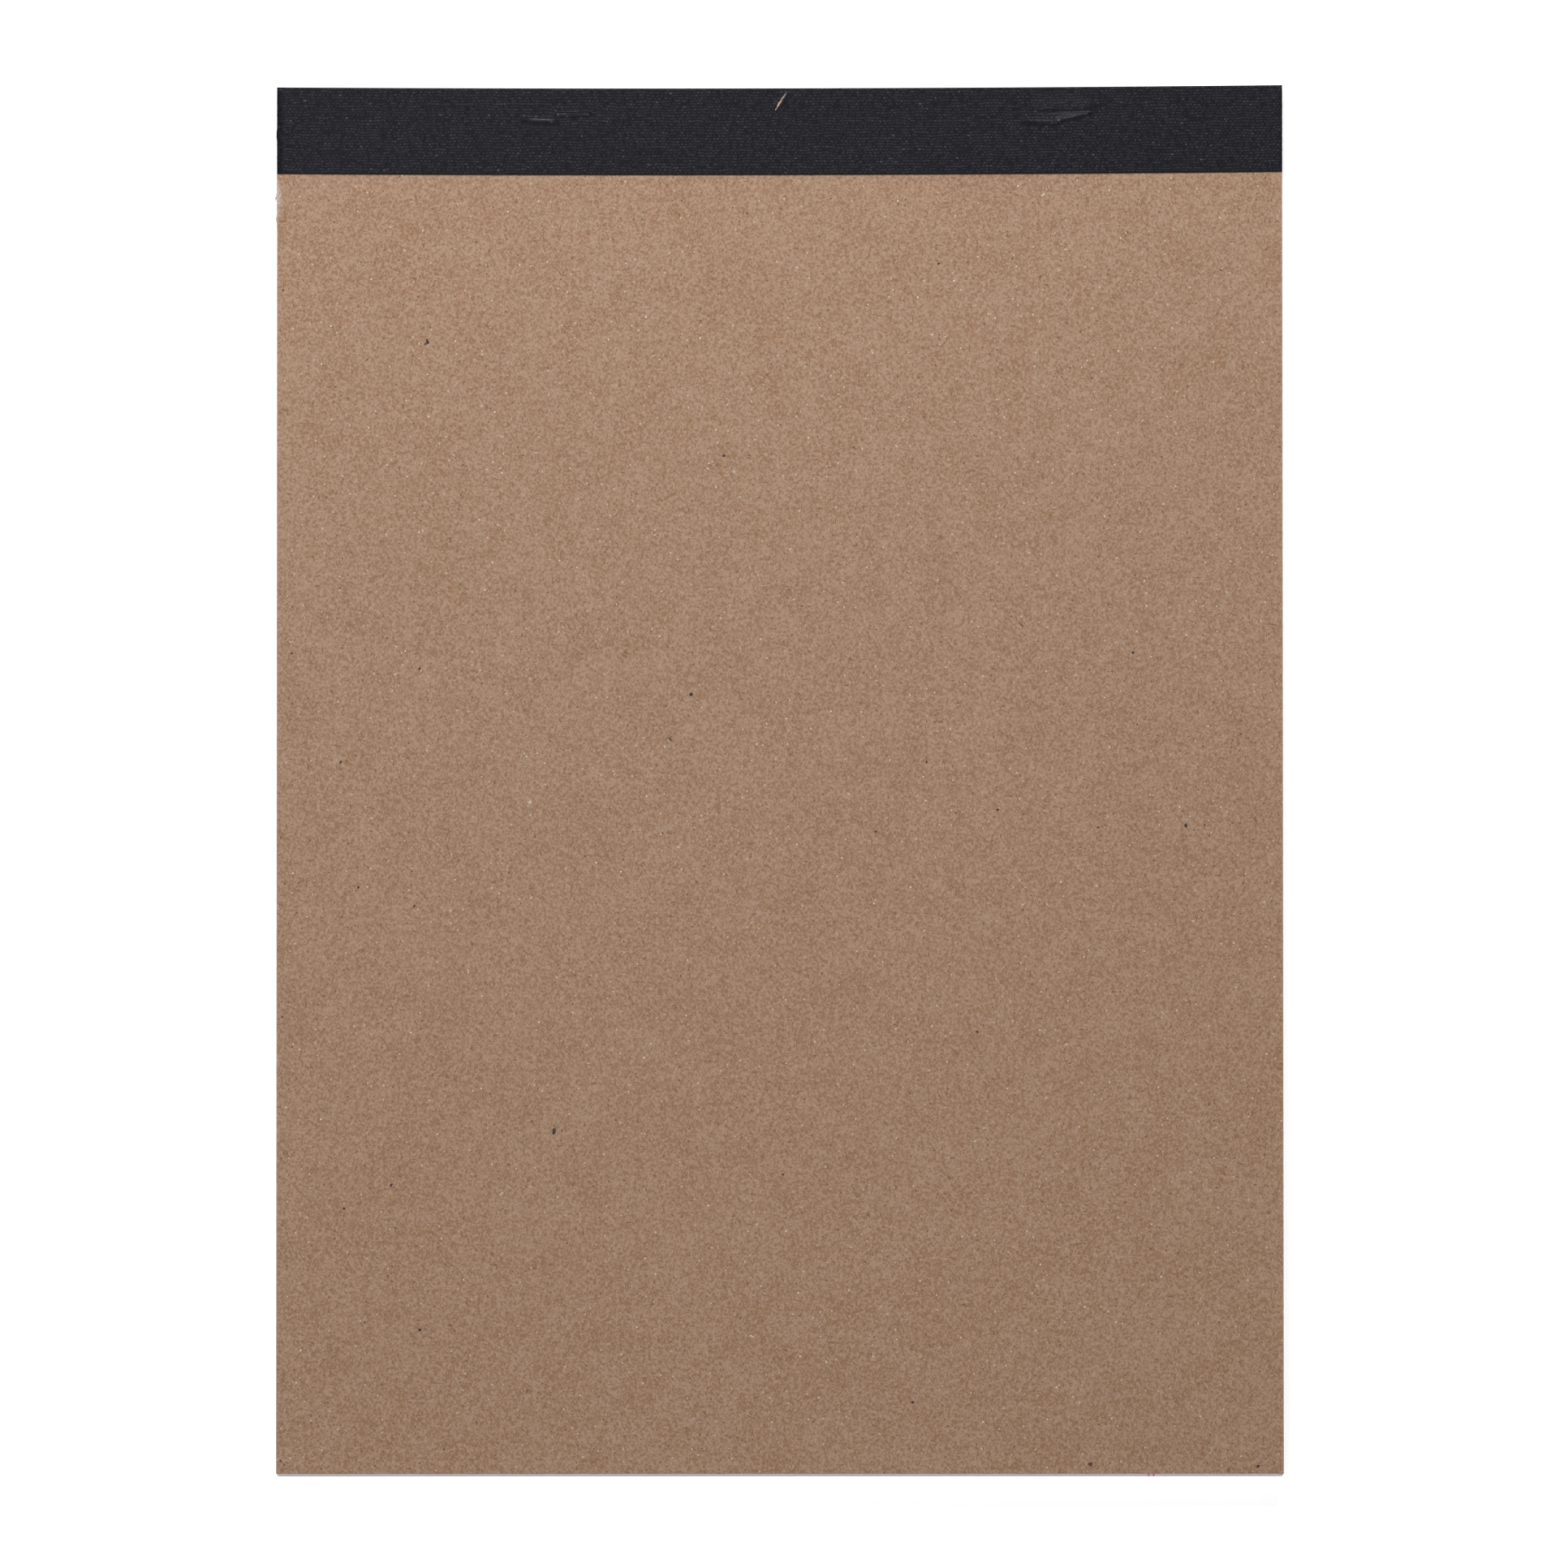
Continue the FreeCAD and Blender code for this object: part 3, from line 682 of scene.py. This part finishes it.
# Painted highlight, with rubbed wear: its width and its offset towards the head lamp along each crest, its
# reach round each tip, and how it fades in and out along the crest.
HIGHLIGHT_AND_RUB_WIDTH, HIGHLIGHT_AND_RUB_REACH = 0.17 * MM, 0.32 * MM
HIGHLIGHT_AND_RUB_OFFSET = 0.12 * MM
HIGHLIGHT_AND_RUB_START, HIGHLIGHT_AND_RUB_END = 0.3, 0.2
PUCKER_LEFT, PUCKER_RIGHT = 54.5 * MM, 67.6 * MM
PUCKER_CREASE = 144.25 * MM
PUCKER_FADES = (2.5 * MM, 1.5 * MM)
PUCKER_RISE = 0.2 * MM
CREASE_RISE, CREASE_WIDTHS = 0.2 * MM, (0.16 * MM, 2.2 * MM)
# The facet of the right staple that faces the head lamp gets a painted highlight: where it starts, how it
# fades at its ends and towards the crease, and how bright it is.
FACET_LEFT, FACET_FADES = 58.5 * MM, (3 * MM, 1.5 * MM, 0.3 * MM)
FACET_HIGHLIGHT = 0.2
TEAR_X = 0.4 * MM
TEAR_FROM_HEAD = 2.66 * MM
TEAR_LENGTH = 5.1 * MM
TEAR_HALF_WIDTH = 0.38 * MM
TEAR_LEAN = 31
TEAR_DRAW = 6 * MM
LIP_REACH = 2.2 * MM
LIP_CURL = 0.12 * MM
EDGE_WANDER, WANDER_LENGTH, WANDER_REACH = 0.05 * MM, 0.7 * MM, 1.5 * MM
BULGE_Y, BULGE_LENGTH, BULGE_PROUD = 138.9 * MM, 0.9 * MM, 0.13 * MM


def stretched(away, flank):
    """Share of its height that tape drawn over a wire has: flat on top, with hollow flanks."""
    reach, hollow = flank
    share = (away - WIRE_HALF_WIDTH) / reach
    return 1.0 if share < 0 else max(1 - share, 0) ** hollow


def pucker(x, y):
    """The facet of tape drawn up from a crease above the right staple to its wires."""
    left, right = PUCKER_FADES
    ends = smooth((x - PUCKER_LEFT) / left) * smooth((PUCKER_RIGHT - x) / right)
    ridge = min(CLINCHES[2:], key=lambda run: off_run(x, y, run)[0])
    away, _, above = off_run(x, y, ridge)
    if not above or not ends:
        return 0.0
    off_crease = y - PUCKER_CREASE
    rise = 0.0 if off_crease >= 0 else PUCKER_RISE * max(1 - away / max(away - off_crease, 0.01 * MM), 0)
    reach = CREASE_WIDTHS[off_crease > 0]
    return ends * (rise + CREASE_RISE * math.exp(-((off_crease / reach) ** 2)))


def lift(x, y, face):
    """How far the wires push the tape out at a point of one face."""
    if face == 0:
        return 0.0
    if face < 0:
        return -FRONT_RISE * max(stretched(off_run(x, y, run)[0], TIGHT) for run in CROWNS)
    push = pucker(x, y)
    bumps = 0.0
    for run, flanks, tip_rise in zip(CLINCHES, CLINCH_FLANKS, TIP_RISES):
        away, share, above = off_run(x, y, run)
        push = max(push, BACK_RISE * stretched(away, flanks[0] if above else flanks[1]))
        at_tip = smooth((share - TIP_START) / (1 - TIP_START))
        bumps += tip_rise * at_tip * max(1 - away / TIP_REACH, 0) ** 1.5
    return push + bumps


def highlight_and_rub(x, y):
    """How pale the back flap is drawn, from 0 to 1: rubbed wear and a painted highlight along the wires'
    crests on their head-lamp side and at their tips, and a painted highlight over the facet that faces the
    head lamp.
    """
    most = 0.0
    for run, (crest, start, tip) in zip(CLINCHES, HIGHLIGHT_AND_RUB):
        away, share, _ = off_run(x, y - HIGHLIGHT_AND_RUB_OFFSET, run)
        length = smooth((share - start) / HIGHLIGHT_AND_RUB_START) * smooth((1 - share) / HIGHLIGHT_AND_RUB_END)
        most = max(most, crest * length * math.exp(-((away / HIGHLIGHT_AND_RUB_WIDTH) ** 2)))
        most = max(most, tip * math.exp(-((math.dist((x, y), run[1]) / HIGHLIGHT_AND_RUB_REACH) ** 2)))
    left, right, head = FACET_FADES
    facet = smooth((x - FACET_LEFT) / left) * smooth((PUCKER_RIGHT - x) / right)
    facet *= off_run(x, y, CLINCHES[3])[2] * smooth((PUCKER_CREASE - y) / head)
    return max(most, FACET_HIGHLIGHT * facet)


def tape_columns():
    """Places across the strip, close together over the staples and the tear."""
    busy = [(x, CROWN_LENGTH / 2 + TIP_REACH) for x in STAPLE_X] + [(TEAR_X, TEAR_DRAW / 2)]
    columns = []
    for way in (-1, 1):
        x = TEAR_X + (FINE_STEP if way > 0 else 0)
        while tape_low.x + FINE_STEP / 2 < x < tape_high.x - FINE_STEP / 2:
            columns.append(x)
            step = FINE_STEP if any(abs(x - place) < reach for place, reach in busy) else COARSE_STEP
            ahead = [abs(x - place) - reach for place, reach in busy if (place - x) * way > 0]
            x += way * max(min([step, *(gap for gap in ahead if gap > 0)]), FINE_STEP)
    return sorted([tape_low.x, *columns, tape_high.x])


def flap_rows(steps):
    """Places up a flap from its end to the fold, each stretch with a step of its own."""
    end = sheets_high.y - FOLD_RADIUS
    rows = [tape_low.y]
    for limit, step in steps:
        while rows[-1] + step < min(limit, end - step / 2):
            rows.append(rows[-1] + step)
    return [*rows, end]


def tape_stations():
    """The strip's section from the back flap's end round the head to the front flap's end:
    outer point, inner point, the face it lies on (1 behind, 0 at the head, -1 in front)."""
    inner_y, inner_back, inner_front = sheets_high.y, board_high.z, STUB_RISE
    outer_back, outer_front = inner_back + TAPE_THICKNESS, inner_front - TAPE_THICKNESS
    bends = [math.pi / 2 * step / FOLD_STEPS for step in range(FOLD_STEPS + 1)]
    bend_y = tape_high.y - FOLD_RADIUS

    def fold(middle, way):
        across = [FOLD_RADIUS * math.sin(bend) for bend in bends]
        up = [way * FOLD_RADIUS * math.cos(bend) for bend in bends]
        return [(bend_y + y, middle + z) for y, z in zip(across, up)]

    back_fold = fold(outer_back - FOLD_RADIUS, 1)
    front_fold = fold(outer_front + FOLD_RADIUS, -1)[::-1]
    stations = [((y, outer_back), (y, inner_back), 1) for y in flap_rows(BACK_STEPS)]
    stations += [(outer, (inner_y, inner_back), 0) for outer in back_fold]
    stations += [(outer, (inner_y, inner_front), 0) for outer in front_fold]
    stations += [((y, outer_front), (y, inner_front), -1) for y in reversed(flap_rows(FRONT_STEPS))]
    return stations


def tear_share(y):
    """Where a height lies along the tear: 0 at its foot, 1 at its head, and outside beyond."""
    span = TEAR_LENGTH * math.cos(math.radians(TEAR_LEAN))
    return (y - (tape_high.y - TEAR_FROM_HEAD)) / span + 0.5


def tear_open(share):
    """Half the width of the tear at that share of its length, with ragged lips."""
    if not 0 < share < 1:
        return 0.0
    ragged = 1 + 0.9 * noise.noise(Vector((share * 9, 0, 0)))
    return TEAR_HALF_WIDTH * ragged * math.sin(math.pi * share ** 0.75) ** 1.1


def draw_aside(x, y, side):
    """Moves a point of the back flap so that the grid follows the tear and parts round it."""
    share = tear_share(y)
    off = abs(x - TEAR_X)
    lean = TEAR_LENGTH * math.sin(math.radians(TEAR_LEAN)) * (min(max(share, 0), 1) - 0.5)
    fade = smooth(1 - off / TEAR_DRAW)
    parted = tear_open(share) * max(1 - off / LIP_REACH, 0) ** 2
    return x + lean * fade + side * parted, LIP_CURL * (parted / TEAR_HALF_WIDTH) ** 2


def edge_wander(x, y):
    """The strip's two cut ends aren't quite straight."""
    off = min(x - tape_low.x, tape_high.x - x)
    side = -1 if x < 0 else 1
    bulge = BULGE_PROUD * math.exp(-(((y - BULGE_Y) / BULGE_LENGTH) ** 2)) if side < 0 else 0.0
    wander = EDGE_WANDER * noise.noise(Vector((side * 5, y / WANDER_LENGTH, 1))) + bulge
    return side * wander * smooth(1 - off / WANDER_REACH)


def fold_tape():
    """The strip as one closed sheet, with how far each point lies along it and how pale it is drawn, for
    rubbed wear and painted highlight.
    """
    columns, stations = tape_columns(), tape_stations()
    middle = columns.index(TEAR_X)
    points, arcs, highlight_and_rub_shares = [], [], []

    def place(x, y, z, inner_y, inner_z, face, side):
        lip = 0.0
        if face > 0:
            x, lip = draw_aside(x, y, side)
        x += edge_wander(x, y)
        shift = head_shift(x, y)
        push = lift(x, y + shift, face)
        points.append((x, y + shift, z + push + lip))
        points.append((x, inner_y + shift, inner_z + push + lip * 0.8))
        highlight_and_rub_shares.extend([highlight_and_rub(x, y + shift) if face > 0 else 0.0] * 2)
        return len(points) - 2

    grid, right_of_tear = [], {}
    arc = 0.0
    last = stations[0][0]
    for row, ((y, z), (inner_y, inner_z), face) in enumerate(stations):
        arc += math.dist(last, (y, z))
        last = (y, z)
        torn = face > 0 and tear_open(tear_share(y)) > 0
        grid.append([place(x, y, z, inner_y, inner_z, face, (x > TEAR_X) - (x < TEAR_X)) for x in columns])
        if torn:
            right_of_tear[row] = place(TEAR_X, y, z, inner_y, inner_z, face, 1)
            grid[row][middle] = place(TEAR_X, y, z, inner_y, inner_z, face, -1)
        arcs.append(arc)

    faces = []
    for row in range(len(stations) - 1):
        for column in range(len(columns) - 1):
            a, b = grid[row][column], grid[row][column + 1]
            c, d = grid[row + 1][column + 1], grid[row + 1][column]
            if column == middle:
                a, d = right_of_tear.get(row, a), right_of_tear.get(row + 1, d)
            faces.append((a, b, c, d))
            faces.append((a + 1, d + 1, c + 1, b + 1))
    for row in range(len(stations) - 1):
        if row in right_of_tear or row + 1 in right_of_tear:
            low, high = grid[row][middle], grid[row + 1][middle]
            faces.append((low, high, high + 1, low + 1))
            low, high = right_of_tear.get(row, low), right_of_tear.get(row + 1, high)
            faces.append((high, low, low + 1, high + 1))
    rim = (
        grid[0][:-1]
        + [line[-1] for line in grid[:-1]]
        + grid[-1][:0:-1]
        + [line[0] for line in grid[:0:-1]]
    )
    faces += [(b, a, a + 1, b + 1) for a, b in zip(rim, rim[1:] + rim[:1])]
    run_of = {}
    for line, arc in zip(grid, arcs):
        run_of.update({corner: arc for corner in line} | {corner + 1: arc for corner in line})
    for row, corner in right_of_tear.items():
        run_of[corner] = run_of[corner + 1] = arcs[row]
    return points, faces, run_of, highlight_and_rub_shares


CLOTH_BLACK = (0.0012, 0.0010, 0.0032, 1)
CLOTH_LIT_CREST = (0.0100, 0.0091, 0.0148, 1)
CLOTH_GLINT = (0.050, 0.050, 0.062, 1)
CLOTH_SMUDGE = (0.0062, 0.0086, 0.0092, 1)
CLOTH_HIGHLIGHT_AND_RUB = (0.115, 0.110, 0.125, 1)
CLOTH_EDGE = (0.0022, 0.0020, 0.0022, 1)
ROW_PITCH = 0.62
DASH_PITCH = 0.85
CUT_SHADE = 0.4

cloth = Finish("linen_cloth_tape", Roughness=0.27, Specular_IOR_Level=0.11)
along_strip = cloth.add("UVMap", uv_map="cloth").outputs["UV"]
sway = cloth.add("TexNoise", {"Vector": along_strip, "Scale": 0.35, "Detail": 2.0}).outputs["Color"]
sway = cloth.add("VectorMath", {0: sway, 1: (0.5, 0.5, 0.5)}, operation="SUBTRACT").outputs[0]
sway = cloth.add("VectorMath", {0: sway, "Scale": 0.9}, operation="SCALE").outputs[0]
threads = cloth.add("VectorMath", {0: along_strip, 1: sway}, operation="ADD").outputs[0]
u, v, _ = cloth.add("SeparateXYZ", {"Vector": threads}).outputs
row_place = cloth.calc("DIVIDE", v, ROW_PITCH)
row_number = cloth.calc("FLOOR", row_place)
stagger = cloth.add("TexWhiteNoise", {"W": row_number}, noise_dimensions="1D").outputs["Value"]
dash_place = cloth.calc("MULTIPLY_ADD", row_number, 0.5, cloth.calc("DIVIDE", u, DASH_PITCH))
dash_place = cloth.calc("MULTIPLY_ADD", stagger, 0.15, dash_place)
dash_number = cloth.calc("FLOOR", dash_place)
over = cloth.calc("SINE", cloth.calc("MULTIPLY", cloth.calc("FRACT", row_place), math.pi))
along = cloth.calc("SINE", cloth.calc("MULTIPLY", cloth.calc("FRACT", dash_place), math.pi))
cell = cloth.add("CombineXYZ", {"X": dash_number, "Y": row_number}).outputs["Vector"]
luck = cloth.add("TexWhiteNoise", {"Vector": cell}, noise_dimensions="2D").outputs["Value"]
row = cloth.add("CombineXYZ", {"X": u, "Y": cloth.calc("MULTIPLY", row_number, 3.7)}).outputs["Vector"]
thread = cloth.cloud(row, 1.3, 2.0, 0.7)
dash = cloth.calc("MULTIPLY_ADD", along, 0.75, 0.25)
dash = cloth.calc("MULTIPLY", dash, cloth.between(thread, 0.35, 0.62))
crest = cloth.calc("MULTIPLY", cloth.calc("POWER", over, 1.5), dash)
fuzz = cloth.add("Mapping", {"Vector": along_strip, "Scale": (3.2, 5.5, 1.0)}).outputs["Vector"]
slub = cloth.cloud(fuzz, 1.0, 3.0, 0.7)
height = cloth.calc("ADD", crest, slub)
# Painted highlight and shade on the weave: where the threads stand high the cloth is drawn lighter, and
# darker in the gaps between them; the fine slub noise adds random tone.
tone = cloth.mix(cloth.between(height, 0.4, 1.0), CLOTH_BLACK, CLOTH_LIT_CREST)
smudge = cloth.between(cloth.cloud(along_strip, 0.13, 3.0), 0.5, 0.75)
tone = cloth.tint(tone, CLOTH_SMUDGE, smudge, 0.25)
# Painted highlight: glints of the head lamp drawn on the highest thread crests, and rarer ones at random
# cells.
painted_glints = cloth.calc("MULTIPLY", cloth.between(thread, 0.55, 0.75), cloth.between(height, 1.0, 1.5))
tone = cloth.tint(tone, CLOTH_GLINT, painted_glints, 0.85)
rare_painted_glints = cloth.calc("MULTIPLY", cloth.between(luck, 0.97, 0.985), cloth.between(height, 0.8, 1.2))
tone = cloth.tint(tone, CLOTH_GLINT, rare_painted_glints, 0.9)
# Painted highlight, with rubbed wear: the back flap is drawn paler along the wire crests on their head-lamp
# side, at the wire tips, and over the facet that faces the head lamp.
highlight_and_rub_share = cloth.add("Attribute", attribute_name="highlight_and_rub").outputs["Fac"]
tone = cloth.tint(tone, CLOTH_HIGHLIGHT_AND_RUB, highlight_and_rub_share, cloth.between(height, 0.2, 1.0))
# The back flap is drawn darker within 0.4 mm of its end.
_, from_end, _ = cloth.add("SeparateXYZ", {"Vector": along_strip}).outputs
tone = cloth.mix(cloth.between(from_end, CUT_SHADE, CUT_SHADE / 2), tone, CLOTH_EDGE)
cloth.colour(tone)
cloth.raise_by(height, 0.065 * MM, 0.85)

tape_points, tape_faces, strip_run, tape_highlight_and_rub = fold_tape()
cloth_tape = new_piece("cloth_tape", tape_points, tape_faces, cloth, "cloth_tape", "binding_tape")
cloth_tape.data.attributes.new("highlight_and_rub", "FLOAT", "POINT").data.foreach_set("value", tape_highlight_and_rub)
for polygon in cloth_tape.data.polygons:
    polygon.use_smooth = True
weave_map = cloth_tape.data.uv_layers.new(name="cloth")
for loop in cloth_tape.data.loops:
    x = cloth_tape.data.vertices[loop.vertex_index].co.x
    weave_map.data[loop.index].uv = (x / MM, strip_run[loop.vertex_index] / MM)

# Torn backing: where the tape has split, its paper backing stands up between the lips as a ragged
# flake, cream in the middle, browner along its right side and greyer towards the head.
FLAKE_STEPS = 26
FLAKE_LEVEL, FLAKE_BASE = 0.12 * MM, 0.02 * MM
FLAKE_FILL, FLAKE_LEAST = 0.9, 0.03 * MM
# Places across the flake from -1 to 1, and the share of its height there.
FLAKE_ACROSS = ((-1.0, 0.3), (-0.2, 1.0), (0.35, 0.5), (1.0, 0.2))
FLAKE_CREAM = (0.64, 0.53, 0.44, 1)
FLAKE_TAN = (0.47, 0.34, 0.25, 1)
FLAKE_BROWN = (0.10, 0.045, 0.022, 1)
FLAKE_GREY = (0.36, 0.37, 0.34, 1)


def tear_flake():
    """The ragged flake along the tear: outline points, faces, and each point's place across it."""
    points, faces, across = [], [], []
    lean = math.radians(TEAR_LEAN)
    ring = len(FLAKE_ACROSS) + 1
    for step in range(FLAKE_STEPS + 1):
        share = step / FLAKE_STEPS
        y = tape_high.y - TEAR_FROM_HEAD + TEAR_LENGTH * math.cos(lean) * (share - 0.5)
        middle = TEAR_X + TEAR_LENGTH * math.sin(lean) * (share - 0.5)
        half = max(tear_open(share), FLAKE_LEAST) * FLAKE_FILL
        ridge = FLAKE_LEVEL * (0.6 + noise.noise(Vector((share * 14, 7, 0))))
        wander = 0.25 * half * noise.noise(Vector((share * 22, 1, 4)))
        y += head_shift(middle, y)
        for side, level in FLAKE_ACROSS:
            points.append((middle + side * half + wander, y, board_high.z + FLAKE_BASE + level * ridge))
            across.append(side)
        points.append((middle, y, board_high.z + FLAKE_BASE / 2))
        across.append(0.0)
    for step in range(FLAKE_STEPS):
        start = step * ring
        for corner in range(ring):
            beside = (corner + 1) % ring
            faces.append((start + corner, start + beside, start + ring + beside, start + ring + corner))
    faces.append(tuple(reversed(range(ring))))
    faces.append(tuple(range(FLAKE_STEPS * ring, (FLAKE_STEPS + 1) * ring)))
    return points, faces, across


flake = Finish("torn_backing", Roughness=0.9, Specular_IOR_Level=0.2)
grain = flake.cloud(flake.place(), 2.4, 4.0, 0.7)
flake_place = flake.add("UVMap", uv_map="across").outputs["UV"]
side, up, _ = flake.add("SeparateXYZ", {"Vector": flake_place}).outputs
off_middle = flake.calc("ABSOLUTE", flake.calc("ADD", side, 0.15))
tone = flake.mix(flake.between(flake.calc("ADD", off_middle, grain), 0.7, 1.15), FLAKE_CREAM, FLAKE_TAN)
tone = flake.mix(flake.between(flake.calc("ADD", up, grain), 1.0, 1.25), tone, FLAKE_GREY)
lip = flake.between(flake.calc("ADD", side, grain), 0.45, 0.8)
lip = flake.calc("MULTIPLY", lip, flake.between(up, 0.8, 0.6))
flake.colour(flake.mix(lip, tone, FLAKE_BROWN))
flake.raise_by(grain, 0.05 * MM)
flake_points, flake_faces, flake_across = tear_flake()
torn_backing = new_piece("torn_backing", flake_points, flake_faces, flake, "cloth_tape")
across_map = torn_backing.data.uv_layers.new(name="across")
for loop in torn_backing.data.loops:
    ring, corner = divmod(loop.vertex_index, len(FLAKE_ACROSS) + 1)
    across_map.data[loop.index].uv = (flake_across[loop.vertex_index], ring / FLAKE_STEPS)

# Studio: the pad lies on a white table under soft light that comes mostly from beyond its head,
# seen from nearly straight above through a long lens.
TABLE_SIZE = 6.0
TABLE_GAP = 0.3 * MM
TABLE_GLOW = 0.62
SKY_LIGHT = 0.2
UNDER_LIGHT = 0.9
CAMERA_DISTANCE = 8.0
CAMERA_TILT = 4.34
CAMERA_ROLL = -0.015
CAMERA_CLIP = (0.1, 20)
FRAME_WIDTH = 336.31 * MM
AIM = (0.91 * MM, -0.85 * MM)


def lamp(name, place, target, size, power):
    """A softbox of that size that stands at a place and faces its target."""
    light = bpy.data.lights.new(name, "AREA")
    light.shape = "RECTANGLE"
    light.size, light.size_y = size
    light.energy = power
    carrier = bpy.data.objects.new(name, light)
    bpy.context.scene.collection.objects.link(carrier)
    carrier.location = place
    carrier.rotation_euler = (Vector(target) - Vector(place)).to_track_quat("-Z", "Y").to_euler()


lamp("head_softbox", (-0.06, 0.6, 0.6), (0, 0.1, 0), (0.7, 0.12), 5.4)
lamp("fill_softbox", (-0.5, -0.1, 1.3), (0, 0, 0), (1.0, 1.0), 4.0)
lamp("foot_softbox", (-0.1, -1.1, 0.3), (0, 0, 0), (1.4, 0.4), 3.4)


def seen_directly(finish):
    """1 for what the camera sees itself, or in a reflection or through something."""
    path = finish.add("LightPath").outputs
    seen = finish.calc("MAXIMUM", path["Is Camera Ray"], path["Is Glossy Ray"])
    return finish.calc("MAXIMUM", seen, path["Is Transmission Ray"])


table_mesh = bpy.data.meshes.new("white_table")
half = TABLE_SIZE / 2
corners = [(-half, -half), (half, -half), (half, half), (-half, half)]
table_mesh.from_pydata([(x, y, -TABLE_GAP) for x, y in corners], [], [(0, 1, 2, 3)])
white_table = bpy.data.objects.new("white_table", table_mesh)
bpy.context.scene.collection.objects.link(white_table)

table_top = Finish("white_table_top", Roughness=0.9, Specular_IOR_Level=0.0)
table_top.colour((0.8, 0.8, 0.8, 1))
table_top.shader.inputs["Emission Color"].default_value = (1, 1, 1, 1)
glow = table_top.calc("MULTIPLY", seen_directly(table_top), TABLE_GLOW)
table_top.feed(table_top.shader.inputs["Emission Strength"], glow)
from_below = table_top.add("NewGeometry").outputs["Backfacing"]
close_under = table_top.calc("LESS_THAN", table_top.add("LightPath").outputs["Ray Length"], 2 * TABLE_GAP)
clear = table_top.add("BsdfTransparent").outputs[0]
both = table_top.add("MixShader", {0: table_top.calc("MAXIMUM", from_below, close_under)})
table_top.feed(both.inputs[1], table_top.shader.outputs[0])
table_top.feed(both.inputs[2], clear)
table_top.feed(table_top.tree.nodes["Material Output"].inputs["Surface"], both.outputs[0])
table_mesh.materials.append(table_top.material)

world = bpy.data.worlds.new("studio")
bpy.context.scene.world = world
sky = Nodes(world)
backdrop = sky.tree.nodes["Background"]
_, _, upward = sky.add("SeparateXYZ", {"Vector": sky.add("TexCoord").outputs["Generated"]}).outputs
light = sky.calc("MULTIPLY_ADD", sky.calc("LESS_THAN", upward, 0.0), UNDER_LIGHT - SKY_LIGHT, SKY_LIGHT)
sky.feed(backdrop.inputs["Strength"], sky.calc("MAXIMUM", light, seen_directly(sky)))
backdrop.inputs["Color"].default_value = (1, 1, 1, 1)

camera_data = bpy.data.cameras.new("copy_camera")
camera_data.sensor_width = 36
camera_data.lens = camera_data.sensor_width * CAMERA_DISTANCE / FRAME_WIDTH
camera = bpy.data.objects.new("copy_camera", camera_data)
bpy.context.scene.collection.objects.link(camera)
tilt = math.radians(CAMERA_TILT)
aim = Vector((AIM[0], AIM[1], board_high.z))
back = Vector((0, -math.sin(tilt), math.cos(tilt)))
turned = (-back).to_track_quat("-Z", "Y").to_matrix() @ Matrix.Rotation(math.radians(CAMERA_ROLL), 3, "Z")
camera.matrix_world = Matrix.Translation(aim + back * CAMERA_DISTANCE) @ turned.to_4x4()
camera_data.clip_start, camera_data.clip_end = CAMERA_CLIP
bpy.context.scene.camera = camera
bpy.context.scene.view_settings.view_transform = "Standard"
